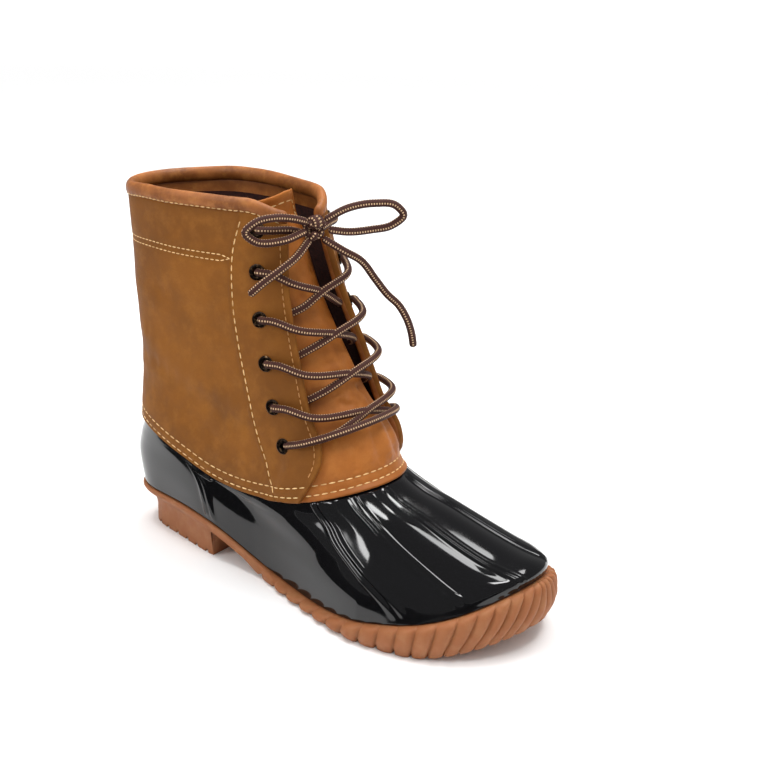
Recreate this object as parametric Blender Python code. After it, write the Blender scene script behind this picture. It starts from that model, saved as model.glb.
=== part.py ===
"""Duck boot, right foot, standing empty on its sole.

Every moulded and cut piece comes from one surface, the last: rings round the foot, from the sole's edge
up to the collar. A place on it is an angle round the ring and a level up the boot. All sizes are in
millimetres. Toe along +X, outer side of the foot along -Y, floor at Z = 0.
"""
import math
from collections import namedtuple

import bmesh
import bpy
import numpy as np
from mathutils import Matrix, Vector

MM = 0.001
ORIGIN_X = 137.8
ORIGIN_Y = -2.5

# Rings of the last. x runs from the back of the heel, z and width are read at the stations below.
Ring = namedtuple("Ring", "name back front z width")
STATIONS = (0.12, 0.28, 0.44, 0.75, 0.92)
RINGS = (
    # z: back tip, heel, breast, waist, ball, toe, front tip; half width: heel, breast, waist, ball, toe
    Ring("rand", 7.5, 270.0, (25.0, 25.0, 21.5, 7.5, 11.5, 25.0, 37.0), (27.5, 32.5, 33.0, 48.0, 36.0)),
    Ring("bulge", 4.0, 268.0, (45.0, 42.0, 35.0, 25.0, 25.5, 33.5, 42.5), (29.5, 33.5, 33.5, 47.0, 33.5)),
    Ring("toe top", 6.0, 250.0, (57.0, 53.0, 46.0, 36.0, 37.0, 42.0, 46.5), (30.0, 34.0, 33.0, 42.5, 29.0)),
    Ring("vamp", 8.5, 217.0, (64.0, 60.0, 54.0, 44.5, 47.0, 53.5, 57.0), (29.5, 34.0, 33.0, 38.5, 27.0)),
    Ring("seam", 10.0, 182.0, (70.0, 67.0, 60.0, 52.0, 55.5, 64.0, 68.0), (28.0, 33.5, 33.5, 36.0, 28.0)),
    Ring("throat", 12.5, 171.0, (92.0, 89.0, 83.0, 76.0, 77.0, 84.0, 88.0), (26.5, 31.5, 32.0, 33.0, 25.5)),
    Ring("instep", 12.0, 157.0, (116.0, 112.0, 107.0, 104.0, 104.0, 108.0, 112.0),
         (26.0, 31.0, 32.5, 32.0, 24.0)),
    Ring("ankle", 10.0, 135.0, (158.0, 157.5, 157.0, 156.5, 157.0, 158.0, 158.0),
         (26.5, 33.0, 34.5, 31.5, 22.0)),
    Ring("collar", 7.0, 120.0, (198.5, 199.5, 201.5, 202.0, 202.0, 202.0, 201.5),
         (26.5, 34.0, 36.0, 29.0, 20.5)),
)
# Radius of the outline at the back of the heel and at the tip of the toe.
HEEL_ROUND = 29.0
TOE_ROUND = 31.0
RAND, SEAM, THROAT, INSTEP, ANKLE, COLLAR = 0.0, 4.0, 5.0, 6.0, 7.0, 8.0
# The centre line swings out at the ball and in again at the toe.
SWING_X = (0.0, 113.0, 197.0, 248.0, 270.0)
SWING_Y = (0.0, 0.0, -3.5, 2.0, 3.5)

GAP = 0.3
SEAT_GAP = 0.95
SHELL_WALL = 2.5
SHELL_UNDERLAP = 0.35
LEATHER = 2.0
EYESTAY_STEP = 1.0
PLUG_WALL = 1.8
INSOLE_THICK = 4.0
INSOLE_PLAY = 3.2
INSOLE_LIFT = 0.3

# Outsole: heel block, arch, tread and the ribs round the forefoot.
SEAT_EDGE = 0.6
RAND_OVERHANG = 3.0
HEEL_LIP = 1.2
HEEL_LIP_DEPTH = 3.0
LEDGE_DEPTH = 9.0
BLOCK_INSET_BACK = 7.0
BLOCK_INSET_FRONT = 2.6
HEEL_BREAST_X = 80.0
WAIST_THICK = 4.6
TREAD_START_X = 130.0
TREAD_END_X = 222.0
TOE_SPRING = 14.0
RIB_FIRST_X = 120.0
RIB_COUNT = 19
# One rib: share of its pitch, how far it stands out, and whether the groove between lugs is cut there.
RIB_COLUMNS = ((0.0, 0.0, 1.0), (0.1, 0.6, 0.0), (0.42, 1.0, 0.0), (0.84, 0.8, 0.0), (0.92, 0.45, 1.0))
RIB_DEPTH = 2.2
RIB_SCALLOP = 1.6
LUG_DEPTH = 2.0
HEEL_LUGS = 6
# Heel groove: distance behind the lug's front edge, and whether it is cut there.
HEEL_GROOVE = ((0.0, 0.0), (0.5, 1.0), (2.3, 1.0), (2.8, 0.0))
HEEL_LUG_FRONT = 4.0
HEEL_LUG_BACK = 3.0
BREAST_EDGE = 0.4
ARCH_COLUMNS = (113.0, 106.0, 99.0, 92.0, 86.0)
ARCH_FADE = 26.0
TOE_RISE_POWER = 1.8
TOE_RISE_MOST = 1.2
RIB_FADE = (-10.0, 25.0)
# Columns round the back of the heel, by distance from its tip.
HEEL_TIP_REACH = (10.5, 7.0, 4.0, 1.9, 0.5)
HEEL_FLARE_X = 12.0
# Side of the sole: share of the height of its two middle rows, and how far each row carries the ribs.
SIDE_HIGH = 0.62
SIDE_LOW = 0.35
RIB_AT_TOP = 1.0
RIB_AT_RIM = 1.3
RIB_AT_BLOCK = 1.2
RIB_AT_FLOOR = 0.7
TOP_TUCK = 0.4
FLOOR_TUCK = 2.0

# Raised double ridges over the vamp: angle at the seam, halfway and at the sole, and the level they end at.
Ridge = namedtuple("Ridge", "seam middle toe end")
RIDGES = (
    Ridge(-45.0, -58.0, -50.0, 0.5),
    Ridge(-27.0, -38.0, -31.0, 0.9),
    Ridge(-8.5, -14.5, -9.0, 0.5),
    Ridge(17.0, 12.0, 15.0, 0.9),
    Ridge(37.0, 36.0, 38.0, 0.5),
)
RIDGE_KNOTS = (0.0, 2.6, 4.0)
RIDGE_HALF = 3.4
RIDGE_HIGH = 1.3
RIDGE_PROFILE = ((-1.0, 0.0), (-0.5, 1.0), (0.0, 0.25), (0.5, 1.0), (1.0, 0.0))
RIDGE_FADE_LOW = (0.4, 0.5)
RIDGE_FADE_TOP = (3.6, 3.85)
HEEL_RIDGE = 116.0
HEEL_RIDGE_HALF = 2.6
# Plain columns of the shell between the ridges, as angles at the seam, halfway and at the sole.
PLAIN_COLUMNS = ((-36.0, -48.0, -40.5), (-18.0, -26.0, -20.0), (4.0, -1.5, 3.0), (27.0, 24.0, 26.5))
SIDE_COLUMNS = (64.0, 78.0, 95.0, 106.0, 127.0, 140.0, 152.0, 166.0)
SHELL_LEVELS = (0.0, 0.4, 1.0, 1.7, 2.4, 3.1, 3.7, 3.95, 4.15, SEAM + SHELL_UNDERLAP)

# Open throat: angle from the toe line to each facing edge, in degrees, at a level.
Facing = namedtuple("Facing", "level outer inner")
FACINGS = (
    Facing(3.9, 52.0, 48.0),
    Facing(4.25, 44.0, 38.0),
    Facing(4.7, 37.5, 32.0),
    Facing(5.0, 35.0, 30.0),
    Facing(6.0, 34.3, 26.0),
    Facing(7.0, 29.5, 12.0),
    Facing(8.0, 20.5, 7.0),
)
# Rear edge of the eyestay panel, in degrees from the toe line.
Lap = namedtuple("Lap", "level angle")
LAPS = (Lap(3.9, 62.0), Lap(5.0, 68.0), Lap(6.0, 69.0), Lap(7.0, 66.0), Lap(7.6, 60.0), Lap(8.0, 51.0))
LAP_STEP = 1.6
EYESTAY_COLUMNS = 6
QUARTER_COLUMNS = 19
UPPER_LEVELS = (3.95, 4.15, 4.35, 4.6, 4.9, 5.4, 6.0, 6.5, 7.0, 7.5, 7.8, COLLAR)
LEATHER_LIFT = 0.9
COLLAR_DIP_FROM = 7.0
COLLAR_DIP = 0.13
COLLAR_DIP_SPAN = 28.0

BINDING_WIDE = 5.4
BINDING_HIGH = 8.0
BINDING_SHIFT = 0.6
BINDING_SIDES = 8

# Tongue: how far its outer face lies from the last, and its reach past the facing edges.
TongueRow = namedtuple("TongueRow", "level offset outer inner")
TONGUE_ROWS = (
    TongueRow(3.95, 2.8, 61.0, 60.0),
    TongueRow(4.3, 2.8, 50.0, 50.0),
    TongueRow(4.8, 2.6, 44.0, 43.0),
    TongueRow(5.3, 1.2, 43.0, 42.0),
    TongueRow(6.0, -1.8, 44.0, 44.0),
    TongueRow(7.0, -5.0, 50.0, 30.0),
    TongueRow(8.0, -6.0, 56.0, 14.0),
    TongueRow(8.26, -6.0, 48.0, 9.0),
)
TONGUE_LEVELS = (3.95, 4.15, 4.35, 4.6, 4.9, 5.25, 5.6, 6.0, 6.5, 7.0, 7.5, 8.0, 8.26)
ABOVE_COLLAR = 48.0
TONGUE_COLUMNS = 15
# The facings ride over the plug up to this many degrees from their edge, and up to this level.
PLUG_ZONE = (15.0, 24.0)
PLUG_FADE = (4.9, 5.8)

EYELET_LEVELS = (7.79, 7.31, 6.82, 6.43, 5.98, 5.27)
EYELET_MARGIN = 19.5
EYELET_BORE = 2.0
EYELET_BARREL = 2.7
EYELET_FLANGE = 4.3
EYELET_RIM = 0.9
EYELET_CHAMFER = 0.5
EYELET_LIFT = 0.85
EYELET_SIDES = 8
HOLE_RADIUS = 3.3
PUNCH_OFFSET = 2.5
PUNCH_DEPTH = 9.0

LACE_RADIUS = 1.9
LACE_SIDES = 8
# Strands of a crossing: lift off the leather, ends in degrees from the eyelet and inside the far facing.
STRAND_LIFT = 0.8
STRAND_START = 10.0
STRAND_STOP = 7.0
STRAND_DIP = 2.5
STRAND_BULGE = 4.0
STRAND_UNDER_BULGE = 0.5
STRAND_POINTS = 8
BAR_LIFT = 0.1
BAR_BULGE = 2.0
BAR_RISE = 0.12
BAR_STOPS = 7
BAR_POINTS = 12
STRAND_OVER = 0.25
STRAND_MIDDLE = 0.2
STRAND_END_RISE = 0.1
STRAND_LOW = 1.0
CORD_SPACING = 10.0
KNOT = (131.5, -7.5, 195.0)
KNOT_SIZE = (10.0, 11.0, 13.0)
# Where the stretches from the top eyelets meet the knot.
TIE_OUTER_END = (126.3, -11.2, 192.0)
TIE_INNER_END = (129.6, -1.7, 192.8)
TIE_POINTS = 6

# Free stretches of the lace, in mm from the back of the heel.
LOOP_LEFT = ((130.2, -12.1, 198.5), (127, -20, 201), (122, -29, 202), (117, -37, 200), (114, -41, 195),
             (117, -38, 191), (126, -27, 190.5), (130.5, -13.2, 194.1))
LOOP_RIGHT = ((133.9, -3, 198.4), (143, 4, 205), (154, 13, 208), (162, 20, 207), (165, 23, 202),
              (161, 20, 197), (152, 12, 194), (144, 4, 193), (136.4, -3.3, 194.2))
END_LEFT = ((131.2, -11.2, 189.6), (131, -22, 182), (128, -32, 176), (123, -39, 170), (118, -43, 164))
END_RIGHT = ((134.6, -5.6, 190), (144, 0, 184), (150, 8, 178), (155, 14, 168), (160, 18, 160), (165, 22, 154),
             (169, 24, 147), (171, 26, 139), (172, 27, 131))

PULL_TAB_WIDE = 12.0
PULL_TAB_THICK = 1.6
PULL_TAB_LOW = 7.62
PULL_TAB_BOW = 2.5
PULL_TAB_HUG = 1.1
PULL_TAB_ROWS = 7


def smooth_table(knots, values, at):
    """Cubic curve through a table's rows; values may have columns after the first axis."""
    knots = np.asarray(knots, dtype=float)
    values = np.asarray(values, dtype=float)
    at = np.clip(at, knots[0], knots[-1])
    i = np.clip(np.searchsorted(knots, at, side="right") - 1, 0, len(knots) - 2)
    step = knots[i + 1] - knots[i]
    u = (at - knots[i]) / step
    slope = np.gradient(values, knots, axis=0)
    if values.ndim > 1:
        u, step = u[..., None], step[..., None]
    start = (1 + 2 * u) * (1 - u) ** 2 * values[i] + u * (1 - u) ** 2 * step * slope[i]
    return start + u * u * (3 - 2 * u) * values[i + 1] + u * u * (u - 1) * step * slope[i + 1]


def along_ring(columns, share):
    """Read per-point station columns (last axis, with both tips) at each point's share of the length."""
    knots = np.array((0.0,) + STATIONS + (1.0,))
    i = np.clip(np.searchsorted(knots, share, side="right") - 1, 0, len(knots) - 2)
    step = knots[i + 1] - knots[i]
    u = (share - knots[i]) / step
    slope = np.gradient(columns, knots, axis=-1)

    def take(table, index):
        return np.take_along_axis(table, index[..., None], axis=-1)[..., 0]

    start = (1 + 2 * u) * (1 - u) ** 2 * take(columns, i) + u * (1 - u) ** 2 * step * take(slope, i)
    end = u * u * (3 - 2 * u) * take(columns, i + 1) + u * u * (u - 1) * step * take(slope, i + 1)
    return start + end


def ring_table():
    """All rings as rows of numbers; widths become roundness, so that both tips close smoothly."""
    share = np.array(STATIONS)
    chord = 2 * np.sqrt(share * (1 - share))
    rows = []
    for ring in RINGS:
        round_width = np.array(ring.width) / chord
        half_length = (ring.front - ring.back) / 2
        tips = (math.sqrt(HEEL_ROUND * half_length), *round_width, math.sqrt(TOE_ROUND * half_length))
        rows.append((ring.back, ring.front, *ring.z, *tips))
    return np.array(rows)


RING_TABLE = ring_table()
TIP_COUNT = len(STATIONS) + 2


def last_point(angle, level):
    """Place on the last, in mm: angle 0 at the toe, positive to the inner side, level up the boot."""
    angle, level = np.broadcast_arrays(np.asarray(angle, float), np.asarray(level, float))
    row = smooth_table(np.arange(len(RINGS)), RING_TABLE, level)
    share = (1 + np.cos(angle)) / 2
    x = row[..., 0] + (row[..., 1] - row[..., 0]) * share
    z = along_ring(row[..., 2:2 + TIP_COUNT], share)
    half = along_ring(row[..., 2 + TIP_COUNT:], share)
    y = half * np.sin(angle) + np.interp(x, SWING_X, SWING_Y)
    z = z + np.maximum(level - COLLAR, 0.0) * ABOVE_COLLAR
    return np.stack([x, y, z], axis=-1)


def last_normal(angle, level):
    """Outward direction of the last."""
    nudge = 1e-3
    level = np.clip(level, 0.0, COLLAR)
    round_way = last_point(angle + nudge, level) - last_point(angle - nudge, level)
    above = np.minimum(level + nudge, COLLAR)
    below = np.maximum(level - nudge, 0.0)
    up_way = last_point(angle, above) - last_point(angle, below)
    normal = np.cross(round_way, up_way)
    return normal / np.linalg.norm(normal, axis=-1, keepdims=True)


def wall_point(angle, level, offset):
    """Place at a distance outside the last."""
    return last_point(angle, level) + last_normal(angle, level) * np.asarray(offset, float)[..., None]


def plan_outward(angle):
    """Level outward direction of the sole's outline."""
    nudge = 1e-3
    way = last_point(angle + nudge, RAND) - last_point(angle - nudge, RAND)
    out = np.stack([way[..., 1], -way[..., 0], np.zeros_like(way[..., 0])], axis=-1)
    return out / np.linalg.norm(out, axis=-1, keepdims=True)


def smoothstep(low, high, value):
    """0 below low, 1 above high."""
    u = np.clip((value - low) / (high - low), 0.0, 1.0)
    return u * u * (3 - 2 * u)


def material(name, hex_colour, roughness, metallic=0.0):
    """Plain Principled material from an sRGB colour."""
    mat = bpy.data.materials.new(name)
    mat.use_nodes = True
    shader = mat.node_tree.nodes["Principled BSDF"]
    parts = [int(hex_colour[i:i + 2], 16) / 255 for i in (1, 3, 5)]
    linear = [c / 12.92 if c <= 0.04045 else ((c + 0.055) / 1.055) ** 2.4 for c in parts]
    shader.inputs["Base Color"].default_value = (*linear, 1.0)
    shader.inputs["Roughness"].default_value = roughness
    shader.inputs["Metallic"].default_value = metallic
    return mat


def placed(point):
    """A place in mm on the boot as Blender metres, the boot centred on the origin."""
    return Vector(((point[0] - ORIGIN_X) * MM, (point[1] - ORIGIN_Y) * MM, point[2] * MM))


def finish_mesh(name, bm, mat, smooth=True):
    """Weld, face outward, and link the mesh as an object."""
    bmesh.ops.remove_doubles(bm, verts=bm.verts, dist=1e-6)
    bmesh.ops.recalc_face_normals(bm, faces=bm.faces)
    mesh = bpy.data.meshes.new(name)
    bm.to_mesh(mesh)
    bm.free()
    mesh.materials.append(mat)
    obj = bpy.data.objects.new(name, mesh)
    bpy.context.scene.collection.objects.link(obj)
    if smooth:
        mesh.shade_smooth()
        mesh.set_sharp_from_angle(angle=math.radians(35))
    return obj


def add_sheet(bm, points, closed):
    """Quads over a grid of places: rows up the boot, columns round it."""
    rows = [[bm.verts.new(placed(p)) for p in row] for row in points]
    count = len(rows[0])
    for low, high in zip(rows, rows[1:]):
        for i in range(count if closed else count - 1):
            j = (i + 1) % count
            bm.faces.new((low[i], low[j], high[j], high[i]))
    return rows


def add_band(bm, first, second, closed):
    """Quads between two rows of vertices."""
    count = len(first)
    for i in range(count if closed else count - 1):
        j = (i + 1) % count
        bm.faces.new((first[i], first[j], second[j], second[i]))


def walled_solid(name, outer, inner, closed, mat):
    """Closed wall between an outer and an inner grid of places."""
    bm = bmesh.new()
    skin = add_sheet(bm, outer, closed)
    lining = add_sheet(bm, inner, closed)
    add_band(bm, skin[0], lining[0], closed)
    add_band(bm, skin[-1], lining[-1], closed)
    if not closed:
        for side in (0, -1):
            add_band(bm, [row[side] for row in skin], [row[side] for row in lining], False)
    return finish_mesh(name, bm, mat)


def mirrored_angles(half):
    """Ring of angles from the outer heel round the toe to the inner heel, for cross strips."""
    half = np.asarray(half)
    return np.concatenate([-half[::-1], half[1:-1]])


def slab_solid(name, half, rings, mat):
    """Solid of stacked rings, closed above and below by strips across the foot.

    half holds the angles from toe (0) to heel (pi); rings is a function of the angles that lists the rows
    from the top to the bottom.
    """
    bm = bmesh.new()
    rows = add_sheet(bm, rings(mirrored_angles(half)), True)
    count = len(half)
    for row in (rows[0], rows[-1]):
        outer = row[:count]
        inner = [row[0]] + row[count:][::-1] + [row[count - 1]]
        for i in range(count - 1):
            corners = []
            for vert in (outer[i], outer[i + 1], inner[i + 1], inner[i]):
                if vert not in corners:
                    corners.append(vert)
            bm.faces.new(corners)
    return finish_mesh(name, bm, mat)


def angle_at_x(x):
    """Angle on the rand ring at which the last reaches x."""
    ring = RINGS[0]
    return math.acos(2 * (x - ring.back) / (ring.front - ring.back) - 1)


def sole_columns():
    """Angle, rib height and groove mask of the outsole's columns, from toe to heel."""
    columns = []
    first = angle_at_x(RIB_FIRST_X)
    pitch = first / RIB_COUNT
    for rib in range(RIB_COUNT):
        for share, height, groove in RIB_COLUMNS:
            columns.append((pitch * (rib + share), height, groove))
    columns.append((first, 0.0, 0.0))
    for x in (*ARCH_COLUMNS, HEEL_BREAST_X + BREAST_EDGE, HEEL_BREAST_X):
        columns.append((angle_at_x(x), 0.0, 0.0))
    lug = (HEEL_BREAST_X - RINGS[0].back - HEEL_TIP_REACH[0] - HEEL_LUG_BACK) / HEEL_LUGS
    for i in range(HEEL_LUGS):
        front = HEEL_BREAST_X - HEEL_LUG_FRONT - lug * i
        for behind, cut in HEEL_GROOVE:
            columns.append((angle_at_x(front - behind), 0.0, cut))
    for reach in HEEL_TIP_REACH:
        columns.append((angle_at_x(RINGS[0].back + reach), 0.0, 0.0))
    columns.append((math.pi, 0.0, 0.0))
    return np.array(columns)


def rand_height(x):
    """Height of the last's lowest ring along the foot."""
    ring = RINGS[0]
    share = np.clip((x - ring.back) / (ring.front - ring.back), 0.0, 1.0)
    return last_point(np.arccos(2 * share - 1), RAND)[..., 2]


def in_heel(x):
    """Whether a place along the foot lies over the heel block."""
    return x <= HEEL_BREAST_X + BREAST_EDGE / 4


def sole_underside(x):
    """Height of the outsole's underside along the foot: heel block, arch, tread, toe spring."""
    touch_down = 1 - smoothstep(TREAD_START_X - ARCH_FADE, TREAD_START_X, x)
    arch = np.maximum(rand_height(x) - WAIST_THICK, 0.0) * touch_down
    rise = np.clip((x - TREAD_END_X) / (RINGS[0].front - TREAD_END_X), 0.0, TOE_RISE_MOST)
    tread = TOE_SPRING * rise ** TOE_RISE_POWER
    return np.where(in_heel(x), 0.0, np.where(x < TREAD_START_X, arch, tread))


def outsole(mat):
    """Gum rubber bottom: ledge over the heel block, thin arch, ribbed forefoot side and bar lugs."""
    table = sole_columns()
    half = table[:, 0]
    both = np.abs(mirrored_angles(half))
    order = np.array([int(np.argmin(np.abs(half - a))) for a in both])
    ribbed, cut = table[order, 1], table[order, 2]

    def rings(angles):
        edge = last_point(angles, RAND)
        out = plan_outward(angles)
        x = edge[:, 0]
        forefoot = smoothstep(RIB_FIRST_X + RIB_FADE[0], RIB_FIRST_X + RIB_FADE[1], x)
        heel = in_heel(x)
        under = sole_underside(x)
        seat = edge[:, 2] - SEAT_GAP
        scallop = (1 - ribbed) * forefoot
        rib = RIB_DEPTH * ribbed * forefoot
        rim = np.where(heel, seat - HEEL_LIP_DEPTH, under + SIDE_HIGH * (seat - under))
        block_top = np.where(heel, seat - LEDGE_DEPTH, under + SIDE_LOW * (seat - under))
        low = under + cut * LUG_DEPTH
        lip = HEEL_LIP + (RAND_OVERHANG - HEEL_LIP) * forefoot
        toward_front = smoothstep(HEEL_FLARE_X, HEEL_BREAST_X, x)
        flare = BLOCK_INSET_BACK + (BLOCK_INSET_FRONT - BLOCK_INSET_BACK) * toward_front
        inset = np.where(heel, -flare, lip)

        def row(offset, z):
            flat = edge * (1, 1, 0) + out * np.broadcast_to(offset, x.shape)[:, None]
            height = rand_height(flat[:, 0]) - SEAT_GAP if z is None else z
            return flat + height[:, None] * (0, 0, 1)

        return [
            row(SEAT_EDGE, None),
            row(lip - TOP_TUCK * forefoot + rib * RIB_AT_TOP, seat - RIB_SCALLOP * scallop),
            row(lip + rib * RIB_AT_RIM, rim),
            row(inset + rib * RIB_AT_BLOCK, block_top),
            row(inset - FLOOR_TUCK * forefoot + rib * RIB_AT_FLOOR, low),
        ]

    return slab_solid("outsole", half, rings, mat)


def ridge_columns():
    """Columns of the shell: angle at the sole, halfway and at the seam, then height and end level."""
    columns = []
    for ridge in RIDGES:
        for across, height in RIDGE_PROFILE:
            shift = across * RIDGE_HALF
            columns.append((ridge.toe + shift, ridge.middle + shift, ridge.seam + shift, height, ridge.end))
    for seam, middle, toe in PLAIN_COLUMNS:
        columns.append((toe, middle, seam, 0.0, RAND))
    for side in (-1, 1):
        for across, height in RIDGE_PROFILE:
            columns.append(straight_column(side * (HEEL_RIDGE + across * HEEL_RIDGE_HALF), height))
        for angle in SIDE_COLUMNS:
            columns.append(straight_column(side * angle, 0.0))
    columns.append(straight_column(180.0, 0.0))
    return np.array(sorted(columns))


def straight_column(angle, height):
    """Shell column that keeps one angle from the sole to the seam."""
    return (angle, angle, angle, height, RAND)


def shell(mat):
    """Black rubber lower, open above and below, with paired ridges over the vamp and up the heel."""
    table = ridge_columns()
    levels = np.array(SHELL_LEVELS)
    angle = np.radians(smooth_table(RIDGE_KNOTS, table[:, :3].T, levels))
    height, end = table[:, 3], table[:, 4]
    levels = levels[:, None]
    rise = smoothstep(end - RIDGE_FADE_LOW[0], end + RIDGE_FADE_LOW[1], levels)
    fade = rise * (1 - smoothstep(*RIDGE_FADE_TOP, levels))
    outer = wall_point(angle, levels, RIDGE_HIGH * height * fade)
    inner = wall_point(angle, levels, np.full(angle.shape, -SHELL_WALL))
    return walled_solid("shell", outer, inner, True, mat)


def facing_angles(level):
    """Angles of the outer and inner facing edges at a level, in radians."""
    knots = [row.level for row in FACINGS]
    outer = smooth_table(knots, [row.outer for row in FACINGS], level)
    inner = smooth_table(knots, [row.inner for row in FACINGS], level)
    return np.radians(outer), np.radians(inner)


def lap_angle(level):
    """Angle of the eyestay panel's rear edge at a level, in radians."""
    return np.radians(smooth_table([row.level for row in LAPS], [row.angle for row in LAPS], level))


def upper_angles(level):
    """Angles round the upper at a level, from the outer facing round the heel to the inner facing."""
    outer, inner = facing_angles(level)
    lap = lap_angle(level)
    step = math.radians(LAP_STEP)
    front = np.linspace(0.0, 1.0, EYESTAY_COLUMNS)
    back = np.linspace(0.0, 1.0, QUARTER_COLUMNS)
    outer_stay = outer + (lap - outer) * front
    quarters = lap + step + (math.tau - 2 * (lap + step)) * back
    inner_stay = math.tau - lap - (inner - lap) * front
    return -np.concatenate([outer_stay, quarters, inner_stay])


def quarter_inner(angle, level):
    """Offset of the upper's inside: it rides over the shell's edge, and over the plug beside the throat."""
    outer, inner = facing_angles(level)
    folded = np.mod(angle + math.pi, 2 * math.pi) - math.pi
    past = np.degrees(np.where(folded < 0, -folded - outer, folded - inner))
    over_plug = (1 - smoothstep(*PLUG_ZONE, past)) * (1 - smoothstep(*PLUG_FADE, level))
    return LEATHER_LIFT + (PLUG_WALL + 2 * GAP) * over_plug


def quarter_outer(angle, level):
    """Offset of the upper's outside, with the eyestay panel as a step."""
    folded = np.abs(np.mod(angle + math.pi, 2 * math.pi) - math.pi)
    panel = folded <= lap_angle(level) + 1e-6
    return quarter_inner(angle, level) + LEATHER + np.where(panel, EYESTAY_STEP, 0.0)


def upper_grid():
    """Angle and level of every place on the upper's wall."""
    angles, levels = [], []
    for level in UPPER_LEVELS:
        angle = upper_angles(np.array(level))
        angles.append(angle)
        outer, inner = facing_angles(np.array(level))
        from_edge = np.minimum(-angle - outer, math.tau + angle - inner)
        near = 1 - smoothstep(0.0, math.radians(COLLAR_DIP_SPAN), from_edge)
        levels.append(level - COLLAR_DIP * near * smoothstep(COLLAR_DIP_FROM, COLLAR, level))
    return np.array(angles), np.array(levels)


def eyelet_place(side, level):
    """Angle of an eyelet's centre: side is -1 outer or 1 inner."""
    outer, inner = facing_angles(np.array(level))
    edge = outer if side < 0 else inner
    return side * (float(edge) + math.radians(EYELET_MARGIN))


def seat_matrix(angle, level, offset):
    """Frame on the last with its Z outward and its X up the boot."""
    centre = placed(wall_point(np.array(angle), np.array(level), np.array(offset)))
    out = Vector(last_normal(np.array(angle), np.array(level)))
    up = Vector((0, 0, 1))
    side = out.cross(up).normalized()
    up = side.cross(out).normalized()
    turn = Matrix((up, side, out)).transposed().to_4x4()
    return Matrix.Translation(centre) @ turn


def upper(mat):
    """Leather shaft with a real wall, open at collar, throat and below, with punched eyelet holes."""
    angle, level = upper_grid()
    outer = wall_point(angle, level, quarter_outer(angle, level))
    inner = wall_point(angle, level, quarter_inner(angle, level))
    body = walled_solid("upper", outer, inner, False, mat)
    bm = bmesh.new()
    for side in (-1, 1):
        for eyelet_level in EYELET_LEVELS:
            place = seat_matrix(eyelet_place(side, eyelet_level), eyelet_level, PUNCH_OFFSET)
            bmesh.ops.create_cone(bm, cap_ends=True, segments=EYELET_SIDES, radius1=HOLE_RADIUS * MM,
                                  radius2=HOLE_RADIUS * MM, depth=PUNCH_DEPTH * MM, matrix=place)
    punch = finish_mesh("eyelet_punch", bm, mat, smooth=False)
    punch.hide_render = True
    punch.display_type = "WIRE"
    cut = body.modifiers.new("eyelet holes", "BOOLEAN")
    cut.operation = "DIFFERENCE"
    cut.solver = "EXACT"
    cut.object = punch
    return body


def tongue(mat):
    """Vamp plug and tongue in one leather panel, under the facings and over the shell's edge."""
    knots = [row.level for row in TONGUE_ROWS]
    levels = np.array(TONGUE_LEVELS)[:, None]
    offset = smooth_table(knots, [row.offset for row in TONGUE_ROWS], levels)
    low = -np.radians(smooth_table(knots, [row.outer for row in TONGUE_ROWS], levels))
    high = np.radians(smooth_table(knots, [row.inner for row in TONGUE_ROWS], levels))
    angle = low + (high - low) * np.linspace(0.0, 1.0, TONGUE_COLUMNS)
    level = np.broadcast_to(levels, angle.shape)
    outer = wall_point(angle, level, np.broadcast_to(offset, angle.shape))
    inner = wall_point(angle, level, np.broadcast_to(offset - PLUG_WALL, angle.shape))
    return walled_solid("tongue", outer, inner, False, mat)


def collar_binding(mat):
    """Padded roll along the top of the upper, an oval swept from facing to facing."""
    angle, level = upper_grid()
    angle, level = angle[-1], level[-1]
    centre = wall_point(angle, level, LEATHER_LIFT + LEATHER / 2 - BINDING_SHIFT)
    centre[:, 2] += GAP + BINDING_HIGH / 2
    out = last_normal(angle, level) * (1, 1, 0)
    out = out / np.linalg.norm(out, axis=-1, keepdims=True)
    rows = []
    for turn in np.arange(BINDING_SIDES) * math.tau / BINDING_SIDES:
        row = centre + out * (math.cos(turn) * BINDING_WIDE / 2)
        row[:, 2] += math.sin(turn) * BINDING_HIGH / 2
        rows.append(row)
    sections = np.array(rows).transpose(1, 0, 2)
    bm = bmesh.new()
    verts = add_sheet(bm, sections, True)
    bm.faces.new(verts[0])
    bm.faces.new(verts[-1])
    return finish_mesh("collar_binding", bm, mat)


def insole(mat):
    """Flat footbed inside the shell."""
    half = np.linspace(0.0, math.pi, 25)

    def rings(angles):
        edge = last_point(angles, RAND)
        out = plan_outward(angles)
        base = edge - out * (SHELL_WALL + INSOLE_PLAY)
        base[:, 2] = rand_height(base[:, 0]) + INSOLE_LIFT
        return [base + np.array((0, 0, INSOLE_THICK)), base]

    return slab_solid("insole", half, rings, mat)


def eyelet(name, side, level, mat):
    """Metal ring: a barrel through the leather and a flange outside it, spun about its own axis."""
    angle = eyelet_place(side, level)
    skin = float(quarter_outer(np.array(angle), np.array(level)))
    depth = LEATHER + EYESTAY_STEP + EYELET_LIFT
    profile = ((EYELET_BORE, -depth), (EYELET_BARREL, -depth), (EYELET_BARREL, 0.0),
               (EYELET_FLANGE, 0.0), (EYELET_FLANGE - EYELET_CHAMFER, EYELET_RIM), (EYELET_BORE, EYELET_RIM))
    bm = bmesh.new()
    corners = [bm.verts.new((radius * MM, 0, height * MM)) for radius, height in profile]
    edges = [bm.edges.new((a, b)) for a, b in zip(corners, corners[1:] + corners[:1])]
    bmesh.ops.spin(bm, geom=corners + edges, cent=(0, 0, 0), axis=(0, 0, 1), angle=math.tau,
                   steps=EYELET_SIDES, use_merge=True)
    bm.transform(seat_matrix(angle, level, skin + EYELET_LIFT))
    return finish_mesh(name, bm, mat)


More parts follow.
